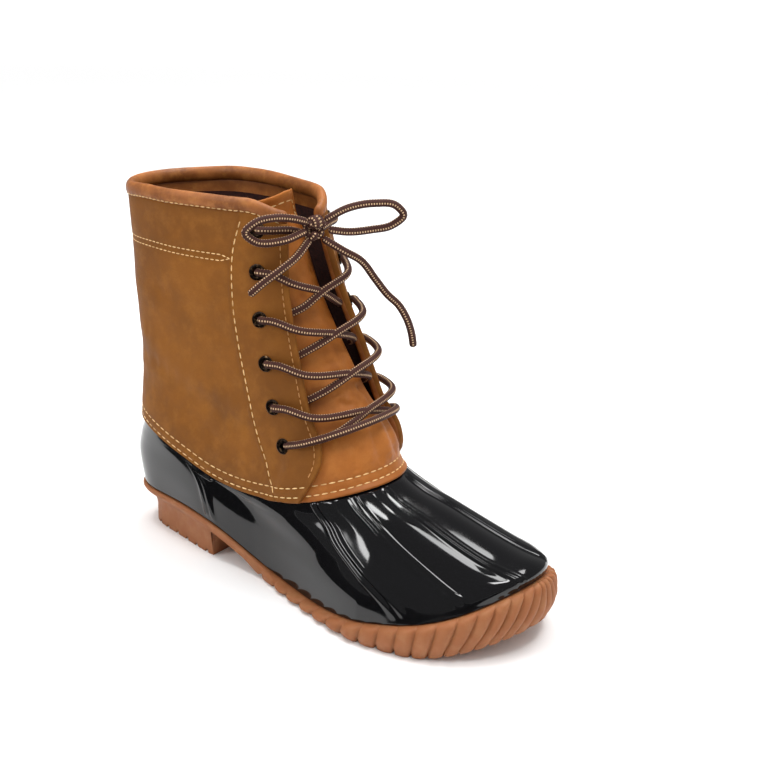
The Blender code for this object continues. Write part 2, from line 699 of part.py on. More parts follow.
def tube(bm, points, radius):
    """Closed tube through places in mm."""
    points = [Vector(p) for p in points]
    rings = []
    side = None
    for i, point in enumerate(points):
        way = (points[min(i + 1, len(points) - 1)] - points[max(i - 1, 0)]).normalized()
        side = way.cross(Vector((0, 0, 1))) if side is None else side - way * side.dot(way)
        side.normalize()
        lift = side.cross(way)
        ring = []
        for k in range(LACE_SIDES):
            turn = math.tau * k / LACE_SIDES
            ring.append(point + side * (math.cos(turn) * radius) + lift * (math.sin(turn) * radius))
        rings.append(ring)
    verts = add_sheet(bm, rings, True)
    bm.faces.new(verts[0])
    bm.faces.new(verts[-1])


def smooth_route(route, count):
    """Evenly spaced places on a smooth curve through the route's own points."""
    route = np.asarray(route, float)
    knots = np.concatenate([[0.0], np.cumsum(np.linalg.norm(np.diff(route, axis=0), axis=1))])
    return smooth_table(knots, route, np.linspace(0.0, knots[-1], count))


def strand(side, start, end, bulge):
    """Places of one crossing strand, from beside an eyelet over the facing edge and down into the throat."""
    outer, inner = (float(a) for a in facing_angles(np.array(start)))
    near = outer if side < 0 else inner
    outer_end, inner_end = (float(a) for a in facing_angles(np.array(end)))
    far = inner_end if side < 0 else outer_end
    middle = (inner + inner_end - outer - outer_end) / 4
    skin = float(quarter_outer(np.array(side * near), np.array(start)))
    knots = [row.level for row in TONGUE_ROWS]
    tongue_top = float(smooth_table(knots, [row.offset for row in TONGUE_ROWS], np.array(end)))
    mid_level = (start + end) / 2
    over = skin + LACE_RADIUS + STRAND_LIFT
    low = tongue_top + LACE_RADIUS + STRAND_LIFT
    stops = (
        (side * (near + math.radians(EYELET_MARGIN - STRAND_START)), start, over),
        (side * near, start - STRAND_OVER * (start - end), over + bulge),
        (middle, mid_level, max(low, over - STRAND_DIP) + bulge * STRAND_MIDDLE),
        (-side * (far - math.radians(STRAND_STOP)), end + STRAND_END_RISE, max(low, STRAND_LOW)),
    )
    route = [wall_point(np.array(a), np.array(l), np.array(o)) for a, l, o in stops]
    return smooth_route(route, STRAND_POINTS)


def lace_crossing(name, start, end, mat):
    """Two strands of the lace, joined where they cross over the tongue."""
    bm = bmesh.new()
    tube(bm, strand(1, start, end, STRAND_BULGE), LACE_RADIUS)
    other = finish_mesh(name + "_other", bm, mat)
    other.hide_render = True
    other.display_type = "WIRE"
    bm = bmesh.new()
    tube(bm, strand(-1, start, end, STRAND_UNDER_BULGE), LACE_RADIUS)
    crossing = finish_mesh(name, bm, mat)
    join = crossing.modifiers.new("other strand", "BOOLEAN")
    join.operation = "UNION"
    join.solver = "EXACT"
    join.object = other
    return crossing


def lace_bar(mat):
    """Lowest stretch of the lace, straight across from eyelet to eyelet."""
    level = EYELET_LEVELS[-1]
    outer, inner = (float(a) for a in facing_angles(np.array(level)))
    reach = math.radians(EYELET_MARGIN - STRAND_START)
    share = np.linspace(0.0, 1.0, BAR_STOPS)
    angle = -(outer + reach) + (outer + inner + 2 * reach) * share
    arch = np.sin(math.pi * share)
    skin = float(quarter_outer(np.array(-outer), np.array(level)))
    lift = skin + LACE_RADIUS + BAR_LIFT + BAR_BULGE * arch
    route = wall_point(angle, level + BAR_RISE * arch, lift)
    bm = bmesh.new()
    tube(bm, smooth_route(route, BAR_POINTS), LACE_RADIUS)
    return finish_mesh("lace_bar", bm, mat)


def lace_tie(name, side, end, mat):
    """Stretch of the lace from beside a top eyelet to the knot."""
    level = EYELET_LEVELS[0]
    outer, inner = facing_angles(np.array(level))
    edge = float(outer) if side < 0 else float(inner)
    skin = float(quarter_outer(np.array(side * edge), np.array(level)))
    angle = side * (edge + np.radians((EYELET_MARGIN - STRAND_START, 0.0)))
    route = [*wall_point(angle, np.full(2, level), np.full(2, skin + LACE_RADIUS + STRAND_LIFT)), end]
    bm = bmesh.new()
    tube(bm, smooth_route(route, TIE_POINTS), LACE_RADIUS)
    return finish_mesh(name, bm, mat)


def lace_knot(mat):
    """Knot of the bow, a rounded lump."""
    bm = bmesh.new()
    bmesh.ops.create_uvsphere(bm, u_segments=10, v_segments=7, radius=1.0)
    half = Vector(KNOT_SIZE) / 2 * MM
    bm.transform(Matrix.Translation(placed(KNOT)) @ Matrix.Diagonal((half.x, half.y, half.z, 1.0)))
    return finish_mesh("lace_knot", bm, mat)


def cord(name, route, mat):
    """Free stretch of the lace as a curve with a round section."""
    length = sum(math.dist(a, b) for a, b in zip(route, route[1:]))
    count = max(5, round(length / CORD_SPACING) + 1)
    curve = bpy.data.curves.new(name, "CURVE")
    curve.dimensions = "3D"
    curve.bevel_depth = LACE_RADIUS * MM
    curve.bevel_resolution = 2
    curve.use_fill_caps = True
    spline = curve.splines.new("POLY")
    spline.points.add(count - 1)
    for point, place in zip(spline.points, smooth_route(route, count)):
        point.co = (*placed(place), 1.0)
    curve.materials.append(mat)
    obj = bpy.data.objects.new(name, curve)
    bpy.context.scene.collection.objects.link(obj)
    return obj


def pull_tab(mat):
    """Webbing strap at the back of the collar, bowed out a little from the leather."""
    shares = np.linspace(0.0, 1.0, PULL_TAB_ROWS)
    level = PULL_TAB_LOW + (COLLAR - PULL_TAB_LOW) * shares
    base = wall_point(math.pi, level, np.full(PULL_TAB_ROWS, GAP * 2 + LEATHER))
    bow = PULL_TAB_BOW * np.sin(math.pi * shares)
    bm = bmesh.new()
    rows = []
    for place, out in zip(base, bow):
        corners = []
        for across, deep in ((-1, 0), (1, 0), (1, 1), (-1, 1)):
            side = across * PULL_TAB_WIDE / 2
            back = out + deep * PULL_TAB_THICK + PULL_TAB_HUG
            corners.append(place + np.array((-back, side, 0.0)))
        rows.append(corners)
    verts = add_sheet(bm, rows, True)
    bm.faces.new(verts[0])
    bm.faces.new(verts[-1])
    return finish_mesh("pull_tab", bm, mat)


def main():
    """Build every piece of the boot."""
    for obj in list(bpy.data.objects):
        bpy.data.objects.remove(obj, do_unlink=True)
    leather = material("oiled tan leather", "#9B6429", 0.6)
    plug = material("orange tan leather", "#B36F31", 0.6)
    edging = material("tan collar leather", "#B2713D", 0.55)
    gum = material("gum rubber", "#C58659", 0.6)
    black = material("gloss black rubber", "#0B0B0D", 0.12)
    metal = material("antique metal", "#4A4038", 0.4, 1.0)
    board = material("footbed felt", "#3A2A20", 0.9)
    braid = material("brown braided lace", "#3B2318", 0.85)
    webbing = material("black webbing", "#111112", 0.8)
    outsole(gum)
    shell(black)
    upper(leather)
    tongue(plug)
    collar_binding(edging)
    insole(board)
    for side, word in ((-1, "outer"), (1, "inner")):
        for number, level in enumerate(EYELET_LEVELS, start=1):
            eyelet(f"eyelet_{word}_{number}", side, level, metal)
    for number, (start, end) in enumerate(zip(EYELET_LEVELS[1:], EYELET_LEVELS[2:]), start=1):
        lace_crossing(f"lace_crossing_{number}", start, end, braid)
    lace_bar(braid)
    lace_tie("lace_tie_outer", -1, TIE_OUTER_END, braid)
    lace_tie("lace_tie_inner", 1, TIE_INNER_END, braid)
    lace_knot(braid)
    cord("lace_loop_left", LOOP_LEFT, braid)
    cord("lace_loop_right", LOOP_RIGHT, braid)
    cord("lace_end_left", END_LEFT, braid)
    cord("lace_end_right", END_RIGHT, braid)
    pull_tab(webbing)


main()
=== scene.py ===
"""Looks of a right duck boot.

A leather shaft laced over an orange tan plug stands on a glossy rubber lower and a ribbed gum sole. Every
moulded and cut piece follows one surface, the last, by an angle round it and a level up it. Sizes are in
millimetres from the back of the heel unless a name says otherwise, and become metres in the row's frame.
"""
import logging
import math
from dataclasses import dataclass, field
from enum import Enum
from typing import Callable, NamedTuple, Sequence

import bmesh
import bpy
import numpy as np
from mathutils import Matrix, Vector


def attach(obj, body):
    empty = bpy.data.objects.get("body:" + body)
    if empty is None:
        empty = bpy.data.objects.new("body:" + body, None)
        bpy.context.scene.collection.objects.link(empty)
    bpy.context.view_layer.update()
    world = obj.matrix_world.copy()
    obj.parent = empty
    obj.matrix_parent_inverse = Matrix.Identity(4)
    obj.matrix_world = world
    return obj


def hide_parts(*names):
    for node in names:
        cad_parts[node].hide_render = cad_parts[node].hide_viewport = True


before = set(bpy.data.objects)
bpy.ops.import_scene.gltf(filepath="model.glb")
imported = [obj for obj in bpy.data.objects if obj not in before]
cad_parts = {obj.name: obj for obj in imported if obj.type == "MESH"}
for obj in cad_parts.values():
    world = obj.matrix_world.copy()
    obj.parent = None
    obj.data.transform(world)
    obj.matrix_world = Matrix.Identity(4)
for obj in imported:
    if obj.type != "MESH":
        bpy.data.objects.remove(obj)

MM = 0.001
ORIGIN = np.array((137.8, -2.5, 0.0))
BODY = "root"
LOG = logging.getLogger("duck_boot")
SOFT = {"clamp": True, "interpolation_type": "SMOOTHSTEP"}

Array = np.ndarray
BMesh = bmesh.types.BMesh
Material = bpy.types.Material
Node = bpy.types.Node
Object = bpy.types.Object
Pair = tuple[float, float]
Place = tuple[float, float, float]
Socket = bpy.types.NodeSocket
Tree = bpy.types.NodeTree


class Ring(NamedTuple):
    """One ring of the last: heights and half widths are read at its stations."""

    name: str
    back: float
    front: float
    z: tuple[float, ...]
    width: tuple[float, ...]


class EdgePair(NamedTuple):
    """Angles of an outer and an inner edge at a level, in degrees from the toe line."""

    level: float
    outer: float
    inner: float


STATIONS = (0.12, 0.28, 0.44, 0.75, 0.92)
RINGS = (
    Ring("rand", 7.5, 270.0, (25.0, 25.0, 21.5, 7.5, 11.5, 25.0, 37.0), (27.5, 32.5, 33.0, 48.0, 36.0)),
    Ring("bulge", 4.0, 268.0, (45.0, 42.0, 35.0, 25.0, 25.5, 33.5, 42.5), (29.5, 33.5, 33.5, 47.0, 33.5)),
    Ring("toe top", 6.0, 250.0, (57.0, 53.0, 46.0, 36.0, 37.0, 42.0, 46.5), (30.0, 34.0, 33.0, 42.5, 29.0)),
    Ring("vamp", 8.5, 217.0, (64.0, 60.0, 54.0, 44.5, 47.0, 53.5, 57.0), (29.5, 34.0, 33.0, 38.5, 27.0)),
    Ring("seam", 10.0, 182.0, (70.0, 67.0, 60.0, 52.0, 55.5, 64.0, 68.0), (28.0, 33.5, 33.5, 36.0, 28.0)),
    Ring("throat", 12.5, 171.0, (92.0, 89.0, 83.0, 76.0, 77.0, 84.0, 88.0), (26.5, 31.5, 32.0, 33.0, 25.5)),
    Ring("instep", 12.0, 157.0, (116.0, 112.0, 107.0, 104.0, 104.0, 108.0, 112.0),
         (26.0, 31.0, 32.5, 32.0, 24.0)),
    Ring("ankle", 10.0, 135.0, (158.0, 157.5, 157.0, 156.5, 157.0, 158.0, 158.0),
         (26.5, 33.0, 34.5, 31.5, 22.0)),
    Ring("collar", 7.0, 120.0, (198.5, 199.5, 201.5, 202.0, 202.0, 202.0, 201.5),
         (26.5, 34.0, 36.0, 29.0, 20.5)),
)
HEEL_ROUND = 29.0
TOE_ROUND = 31.0
SWING_X = (0.0, 113.0, 197.0, 248.0, 270.0)
SWING_Y = (0.0, 0.0, -3.5, 2.0, 3.5)
RAND, SEAM, COLLAR = 0.0, 4.0, 8.0
ABOVE_COLLAR = 48.0

FACINGS = (
    EdgePair(3.9, 52.0, 48.0),
    EdgePair(4.25, 44.0, 38.0),
    EdgePair(4.7, 37.5, 32.0),
    EdgePair(5.0, 35.0, 30.0),
    EdgePair(6.0, 34.3, 26.0),
    EdgePair(7.0, 29.5, 12.0),
    EdgePair(8.0, 20.5, 7.0),
)
LAP_LEVELS = (3.9, 5.0, 6.0, 7.0, 7.6, 8.0)
LAP_ANGLES = (62.0, 68.0, 69.0, 66.0, 60.0, 51.0)
EYELET_LEVELS = (7.79, 7.31, 6.82, 6.43, 5.98, 5.27)
EYELET_MARGIN = 19.5

BAND_LEVELS, BAND_RISE = (7.47, 7.4), 40.0
BOTTOM_LEVELS, BOTTOM_RISE = (4.1, 4.33), 24.0
BOTTOM_EDGE = 3.95
THREAD_LIFT = 0.1
GROOVE_DEPTH, GROOVE_WIDE = 0.3, 1.3
SEWN_WIDE, EDGE_WIDE = 1.4, 1.3

LEATHER = 2.0
LEATHER_LIFT = 0.9
EDGE_SETTLE = 0.65
SETTLE_FADE = (4.0, 4.6)
PLUG_WALL = 1.8
GAP = 0.3
PLUG_ZONE = (15.0, 24.0)
PLUG_FADE = (4.9, 5.8)
COLLAR_DIP = 0.13
COLLAR_DIP_SPAN = 28.0
COLLAR_DIP_FROM = 7.0

# Free stretches of the lace, repeated from the part's source.
KNOT = (131.5, -7.5, 195.0)
LOOP_LEFT = ((130.2, -12.1, 198.5), (127, -20, 201), (122, -29, 202), (117, -37, 200), (114, -41, 195),
             (117, -38, 191), (126, -27, 190.5), (130.5, -13.2, 194.1))
LOOP_RIGHT = ((133.9, -3, 198.4), (143, 4, 205), (154, 13, 208), (162, 20, 207), (165, 23, 202),
              (161, 20, 197), (152, 12, 194), (144, 4, 193), (136.4, -3.3, 194.2))
END_LEFT = ((131.2, -11.2, 189.6), (131, -22, 182), (128, -32, 176), (123, -39, 170), (118, -43, 164))
END_RIGHT = ((134.6, -5.6, 190), (144, 0, 184), (150, 8, 178), (155, 14, 168), (160, 18, 160), (165, 22, 154),
             (169, 24, 147), (171, 26, 139), (172, 27, 131))
TIE_OUTER_END = (126.3, -11.2, 192.0)
TIE_INNER_END = (129.6, -1.7, 192.8)


def interval(knots: Array, at: Array) -> tuple[Array, Array, Array]:
    """Find the pair of knots that each place lies between.

    Args:
        knots: Rising numbers.
        at: Places among them.

    Returns:
        Index of the lower knot, distance between both and share of it.
    """
    i = np.clip(np.searchsorted(knots, at, side="right") - 1, 0, len(knots) - 2)
    step = knots[i + 1] - knots[i]
    return i, step, (at - knots[i]) / step


def cubic(u: Array, step: Array, values: tuple[Array, Array], slopes: tuple[Array, Array]) -> Array:
    """Cubic curve between two knots.

    Args:
        u: Share of the way, from 0 to 1.
        step: Distance between the knots.
        values: Values at both knots.
        slopes: Slopes at both knots.

    Returns:
        The values there.
    """
    start = (1 + 2 * u) * (1 - u) ** 2 * values[0] + u * (1 - u) ** 2 * step * slopes[0]
    return start + u * u * (3 - 2 * u) * values[1] + u * u * (u - 1) * step * slopes[1]


def smooth_table(knots: Sequence[float], values: Sequence, at: Array) -> Array:
    """Cubic curve through a table's rows.

    Args:
        knots: Where the rows lie.
        values: The rows, as numbers or as rows of numbers.
        at: Where to read the curve.

    Returns:
        The values there.
    """
    knots = np.asarray(knots, dtype=float)
    values = np.asarray(values, dtype=float)
    i, step, u = interval(knots, np.clip(at, knots[0], knots[-1]))
    slope = np.gradient(values, knots, axis=0)
    if values.ndim > 1:
        u, step = u[..., None], step[..., None]
    return cubic(u, step, (values[i], values[i + 1]), (slope[i], slope[i + 1]))


def smoothstep(low: float | Array, high: float | Array, value: Array) -> Array:
    """Soft step.

    Args:
        low: Where the step starts at 0.
        high: Where it ends at 1.
        value: The places to read.

    Returns:
        Numbers from 0 to 1.
    """
    u = np.clip((value - low) / (high - low), 0.0, 1.0)
    return u * u * (3 - 2 * u)


def peak(distance: Array, high: float | Array, wide: float) -> Array:
    """Height that is greatest on a line and fades with the distance from it."""
    return high * np.exp(-(distance / wide) ** 2)


def row_metres(points: Array) -> Array:
    """Places in mm from the back of the heel, as metres in the row's frame."""
    return (np.asarray(points, float) - ORIGIN) * MM


class Last:
    """The surface that the boot's pieces are moulded, cut and stitched to."""

    def __init__(self, rings: Sequence[Ring] = RINGS) -> None:
        """Turn the ring table into rows that read smoothly in both directions.

        Args:
            rings: The rings from the sole's edge to the collar.
        """
        share = np.array(STATIONS)
        chord = 2 * np.sqrt(share * (1 - share))
        rows = []
        for ring in rings:
            half_length = (ring.front - ring.back) / 2
            tips = (math.sqrt(HEEL_ROUND * half_length), math.sqrt(TOE_ROUND * half_length))
            rows.append((ring.back, ring.front, *ring.z, tips[0], *(np.array(ring.width) / chord), tips[1]))
        self.table = np.array(rows)
        self.levels = np.arange(len(rings))
        self.stations = np.array((0.0,) + STATIONS + (1.0,))
        self.rand = rings[0]

    def along(self, columns: Array, share: Array) -> Array:
        """Read station columns at each place's share of the length.

        Args:
            columns: Station values, along the last axis.
            share: Share of the length from heel to toe.

        Returns:
            The values there.
        """
        i, step, u = interval(self.stations, share)

        def both(table: Array) -> tuple[Array, Array]:
            """A table's columns at each place's lower and upper station."""
            return tuple(np.take_along_axis(table, (i + k)[..., None], axis=-1)[..., 0] for k in (0, 1))

        return cubic(u, step, both(columns), both(np.gradient(columns, self.stations, axis=-1)))

    def point(self, angle: Array, level: Array) -> Array:
        """Place on the last.

        Args:
            angle: Angle round it in radians, 0 at the toe, positive to the inner side.
            level: Level up the boot.

        Returns:
            Places in mm.
        """
        angle, level = np.broadcast_arrays(np.asarray(angle, float), np.asarray(level, float))
        row = smooth_table(self.levels, self.table, level)
        share = (1 + np.cos(angle)) / 2
        count = len(self.stations)
        x = row[..., 0] + (row[..., 1] - row[..., 0]) * share
        z = self.along(row[..., 2:2 + count], share)
        half = self.along(row[..., 2 + count:], share)
        y = half * np.sin(angle) + np.interp(x, SWING_X, SWING_Y)
        return np.stack([x, y, z + np.maximum(level - COLLAR, 0.0) * ABOVE_COLLAR], axis=-1)

    def normal(self, angle: Array, level: Array) -> Array:
        """Outward direction of the last.

        Args:
            angle: Angles in radians.
            level: Levels.

        Returns:
            Unit vectors.
        """
        nudge = 1e-3
        level = np.clip(level, 0.0, COLLAR)
        round_way = self.point(angle + nudge, level) - self.point(angle - nudge, level)
        above = self.point(angle, np.minimum(level + nudge, COLLAR))
        normal = np.cross(round_way, above - self.point(angle, np.maximum(level - nudge, 0.0)))
        return normal / np.linalg.norm(normal, axis=-1, keepdims=True)

    def off(self, angle: Array, level: Array, offset: Array) -> Array:
        """Place at a distance outside the last, in mm."""
        return self.point(angle, level) + self.normal(angle, level) * np.asarray(offset, float)[..., None]

    def outward(self, angle: Array) -> Array:
        """Level outward direction of the sole's outline.

        Args:
            angle: Angles in radians.

        Returns:
            Unit vectors.
        """
        nudge = 1e-3
        way = self.point(angle + nudge, RAND) - self.point(angle - nudge, RAND)
        out = np.stack([way[..., 1], -way[..., 0], np.zeros_like(way[..., 0])], axis=-1)
        return out / np.linalg.norm(out, axis=-1, keepdims=True)

    def degree(self, angle: Array, level: Array) -> Array:
        """Length of one degree round the last, in mm."""
        nudge = math.radians(0.5)
        return np.linalg.norm(self.point(angle + nudge, level) - self.point(angle - nudge, level), axis=-1)

    def rand_height(self, x: Array) -> Array:
        """Height of the last's lowest ring along the foot."""
        share = np.clip((x - self.rand.back) / (self.rand.front - self.rand.back), 0.0, 1.0)
        return self.point(np.arccos(2 * share - 1), RAND)[..., 2]

    def angle_at_x(self, x: float) -> float:
        """Angle on the rand ring at which the last reaches x."""
        return math.acos(2 * (x - self.rand.back) / (self.rand.front - self.rand.back) - 1)


LAST = Last()


def facing(level: Array) -> tuple[Array, Array]:
    """Angles of the outer and inner facing edges.

    Args:
        level: Levels up the boot.

    Returns:
        Both angles in radians, as positive numbers.
    """
    knots = [row.level for row in FACINGS]
    outer = smooth_table(knots, [row.outer for row in FACINGS], level)
    return np.radians(outer), np.radians(smooth_table(knots, [row.inner for row in FACINGS], level))


def lap(level: Array) -> Array:
    """Angle of the eyestay panel's rear edge at a level, in radians."""
    return np.radians(smooth_table(LAP_LEVELS, LAP_ANGLES, level))


def folded(angle: Array) -> Array:
    """Angle brought to the range from -180 to 180 degrees, in radians."""
    return np.mod(angle + math.pi, math.tau) - math.pi


def past_edge(angle: Array, level: Array) -> Array:
    """Angle from the nearer facing edge, positive on the leather.

    Args:
        angle: Angles in radians.
        level: Levels.

    Returns:
        Angles in radians.
    """
    outer, inner = facing(level)
    turned = folded(angle)
    return np.where(turned < 0, -turned - outer, turned - inner)


def leather_inside(angle: Array, level: Array) -> Array:
    """Offset of the upper's inside, which rides over the shell's edge and over the plug.

    Args:
        angle: Angles in radians.
        level: Levels.

    Returns:
        Offsets from the last in mm.
    """
    over_plug = 1 - smoothstep(*PLUG_ZONE, np.degrees(past_edge(angle, level)))
    over_plug = over_plug * (1 - smoothstep(*PLUG_FADE, level))
    return LEATHER_LIFT + (PLUG_WALL + 2 * GAP) * over_plug - settled(level)


def settled(level: Array) -> Array:
    """How far the leather's lower edge settles towards the shell, in mm."""
    return EDGE_SETTLE * (1 - smoothstep(*SETTLE_FADE, level))


def collar_dip(angle: Array, level: Array) -> Array:
    """Level after the collar's dip towards the facings.

    Args:
        angle: Angles in radians.
        level: Levels before the dip.

    Returns:
        The dipped levels.
    """
    near = 1 - smoothstep(0.0, math.radians(COLLAR_DIP_SPAN), past_edge(angle, level))
    return level - COLLAR_DIP * near * smoothstep(COLLAR_DIP_FROM, COLLAR, level)


def add_node(tree: Tree, kind: str, inputs: dict | None = None, **settings) -> Node:
    """Add a shader node with its settings, values and links.

    Args:
        tree: Node tree to add to.
        kind: Blender's name of the node.
        inputs: Values or output sockets, by the input's name or number.
        settings: Attributes of the node.

    Returns:
        The new node.
    """
    node = tree.nodes.new(kind)
    for name, value in settings.items():
        setattr(node, name, value)
    for name, value in (inputs or {}).items():
        if isinstance(value, Socket):
            tree.links.new(value, node.inputs[name])
        else:
            node.inputs[name].default_value = value
    return node


def linear(hex_colour: str) -> tuple[float, float, float, float]:
    """Turn an sRGB hex colour to linear light.

    Args:
        hex_colour: A hash sign and six hex digits.

    Returns:
        Linear red, green, blue and an alpha of 1.
    """
    parts = [int(hex_colour[i:i + 2], 16) / 255 for i in (1, 3, 5)]
    channels = [c / 12.92 if c <= 0.04045 else ((c + 0.055) / 1.055) ** 2.4 for c in parts]
    return (*channels, 1.0)


def per_metre(size_mm: float) -> float:
    """Texture scale that gives features of this size in mm on Object coordinates."""
    return 1000.0 / size_mm


def patches(tree: Tree, coords: Socket, size_mm: float, span: Pair, detail: float = 3.0,
            roughness: float = 0.55, levels: Pair = (0.0, 1.0)) -> Socket:
    """Soft edged patches of a real size.

    Args:
        tree: Node tree to add to.
        coords: Coordinates in metres.
        size_mm: Size of the patches.
        span: Noise values at which a patch starts and is full.
        detail: Octaves.
        roughness: How strong the fine octaves are.
        levels: Results outside and inside a patch.

    Returns:
        The result at each place.
    """
    noise = add_node(tree, "ShaderNodeTexNoise", {"Vector": coords, "Scale": per_metre(size_mm),
                                                  "Detail": detail, "Roughness": roughness})
    return add_node(tree, "ShaderNodeMapRange", {0: noise.outputs[0], 1: span[0], 2: span[1], 3: levels[0],
                                                 4: levels[1]}, **SOFT).outputs[0]


def wave(tree: Tree, terms: Sequence[tuple[Socket, float]], phase: float = 0.0) -> Socket:
    """Sine wave across one or more coordinates.

    Args:
        tree: Node tree to add to.
        terms: Each coordinate with its radians per unit.
        phase: Radians added to their sum.

    Returns:
        The sine, from -1 to 1.
    """
    total = phase
    for value, rate in terms:
        inputs = {0: value, 1: rate, 2: total}
        total = add_node(tree, "ShaderNodeMath", inputs, operation="MULTIPLY_ADD").outputs[0]
    return add_node(tree, "ShaderNodeMath", {0: total}, operation="SINE").outputs[0]


def layered(tree: Tree, under: Socket | str, over: str, share: Socket,
            strength: Socket | float = 1.0) -> Socket:
    """Lay one colour over another.

    Args:
        tree: Node tree to add to.
        under: The colour below, a hex string or a socket.
        over: The colour on top, a hex string.
        share: Where the top colour lies, from 0 to 1.
        strength: How strongly it covers.

    Returns:
        The mixed colour.
    """
    cover = add_node(tree, "ShaderNodeMath", {0: share, 1: strength}, operation="MULTIPLY").outputs[0]
    below = linear(under) if isinstance(under, str) else under
    return add_node(tree, "ShaderNodeMix", {0: cover, 6: below, 7: linear(over)}, data_type="RGBA").outputs[2]


@dataclass(frozen=True)
class Finish:
    """A material's name and its constant shader values."""

    name: str
    roughness: float
    metallic: float = 0.0
    ior: float = 1.5
    specular: float = 0.5
    subsurface: float = 0.0
    subsurface_mm: float = 1.0

    def start(self) -> tuple[Material, Tree, Node]:
        """Make the material with its constant values on the shader's own sockets.

        Returns:
            The material, its tree and its Principled shader.
        """
        mat = bpy.data.materials.new(self.name)
        mat.use_nodes = True
        shader = mat.node_tree.nodes["Principled BSDF"]
        values = {"Roughness": self.roughness, "Metallic": self.metallic, "IOR": self.ior,
                  "Specular IOR Level": self.specular, "Subsurface Weight": self.subsurface,
                  "Subsurface Scale": self.subsurface_mm * MM}
        for name, value in values.items():
            shader.inputs[name].default_value = value
        return mat, mat.node_tree, shader

    def bump(self, tree: Tree, shader: Node, height: Socket, depth_mm: float,
             under: Socket | None = None) -> Socket:
        """Bend the surface's light by a height.

        Args:
            tree: Node tree.
            shader: The Principled shader.
            height: Height from 0 to 1.
            depth_mm: What 1 stands for.
            under: Normal of a bump below this one.

        Returns:
            The bump's normal.
        """
        inputs = {"Height": height, "Distance": depth_mm * MM, "Strength": 1.0}
        if under is not None:
            inputs["Normal"] = under
        normal = add_node(tree, "ShaderNodeBump", inputs).outputs["Normal"]
        tree.links.new(normal, shader.inputs["Normal"])
        return normal

    def grain(self, tree: Tree, shader: Node, coords: Socket, size_mm: float, depth_mm: float,
              detail: float = 3.0, roughness: float = 0.55, under: Socket | None = None) -> Socket:
        """Raise a fine irregular grain.

        Args:
            tree: Node tree.
            shader: The Principled shader.
            coords: Coordinates in metres.
            size_mm: Size of the grain.
            depth_mm: Its depth.
            detail: Octaves.
            roughness: How strong the fine octaves are.
            under: Normal of a bump below this one.

        Returns:
            The bump's normal.
        """
        noise = add_node(tree, "ShaderNodeTexNoise", {"Vector": coords, "Scale": per_metre(size_mm),
                                                      "Detail": detail, "Roughness": roughness})
        return self.bump(tree, shader, noise.outputs[0], depth_mm, under)


@dataclass(frozen=True)
class Leather(Finish):
    """Oiled nubuck, buffed and waxed: mottled light and dark, a short nap, darker where it is sewn and where
    painted shade is laid on.

    The nap is drawn a little coarser than it is, so that it shows.
    """

    light: str = "#966022"
    body: str = "#875219"
    dark: str = "#744513"
    mottle_mm: float = 42.0
    rub_share: float = 0.28
    grain_mm: float = 0.9
    nap_mm: float = 0.35
    grain_depth: float = 0.12
    nap_share: float = 0.4
    rubbed: float = 0.55
    speckled: float = 0.16
    seam_and_shade_dark: float = 0.75
    sheen_spread: Pair = (-0.06, 0.08)

    def build(self) -> Material:
        """Build the leather.

        Returns:
            The material.
        """
        mat, tree, shader = self.start()
        coords = add_node(tree, "ShaderNodeTexCoord").outputs["Object"]
        seam = add_node(tree, "ShaderNodeAttribute", attribute_name="seam").outputs["Fac"]
        broad = patches(tree, coords, self.mottle_mm, (0.36, 0.66), 5.0, 0.6)
        rubbed = patches(tree, coords, self.mottle_mm * self.rub_share, (0.42, 0.72), 5.0, 0.65)
        speckle = patches(tree, coords, self.grain_mm, (0.3, 0.7), 2.0)
        colour = layered(tree, self.dark, self.body, broad)
        # The last layer, from the seam attribute, darkens the sewn rows and also lays on painted shade under
        # the collar roll and in the throat.
        for over, share, strength in ((self.light, rubbed, self.rubbed), (self.dark, speckle, self.speckled),
                                      (self.dark, seam, self.seam_and_shade_dark)):
            colour = layered(tree, colour, over, share, strength)
        tree.links.new(colour, shader.inputs["Base Color"])
        low, high = (self.roughness + shift for shift in self.sheen_spread)
        rough = add_node(tree, "ShaderNodeMapRange", {0: broad, 3: low, 4: high})
        tree.links.new(rough.outputs[0], shader.inputs["Roughness"])
        grain = self.grain(tree, shader, coords, self.grain_mm, self.grain_depth, 4.0, 0.65)
        self.grain(tree, shader, coords, self.nap_mm, self.grain_depth * self.nap_share, 2.0, under=grain)
        return mat


@dataclass(frozen=True)
class GlossRubber(Finish):
    """Moulded gloss rubber: near black, wet looking, with a slight ripple from the mould and faint dust."""

    colour: str = "#08080A"
    dust: str = "#1B1B20"
    dust_mm: float = 1.2
    dusty: float = 0.5
    haze_mm: float = 16.0
    haze: float = 0.05
    ripple_mm: float = 9.0
    ripple_depth: float = 0.03

    def build(self) -> Material:
        """Build the rubber.

        Returns:
            The material.
        """
        mat, tree, shader = self.start()
        coords = add_node(tree, "ShaderNodeTexCoord").outputs["Object"]
        specks = patches(tree, coords, self.dust_mm, (0.66, 0.78), 4.0, 0.7)
        tree.links.new(layered(tree, self.colour, self.dust, specks, self.dusty), shader.inputs["Base Color"])
        levels = (self.roughness, self.roughness + self.haze)
        hazy = patches(tree, coords, self.haze_mm, (0.4, 0.75), levels=levels)
        tree.links.new(hazy, shader.inputs["Roughness"])
        self.grain(tree, shader, coords, self.ripple_mm, self.ripple_depth, 1.0)
        return mat


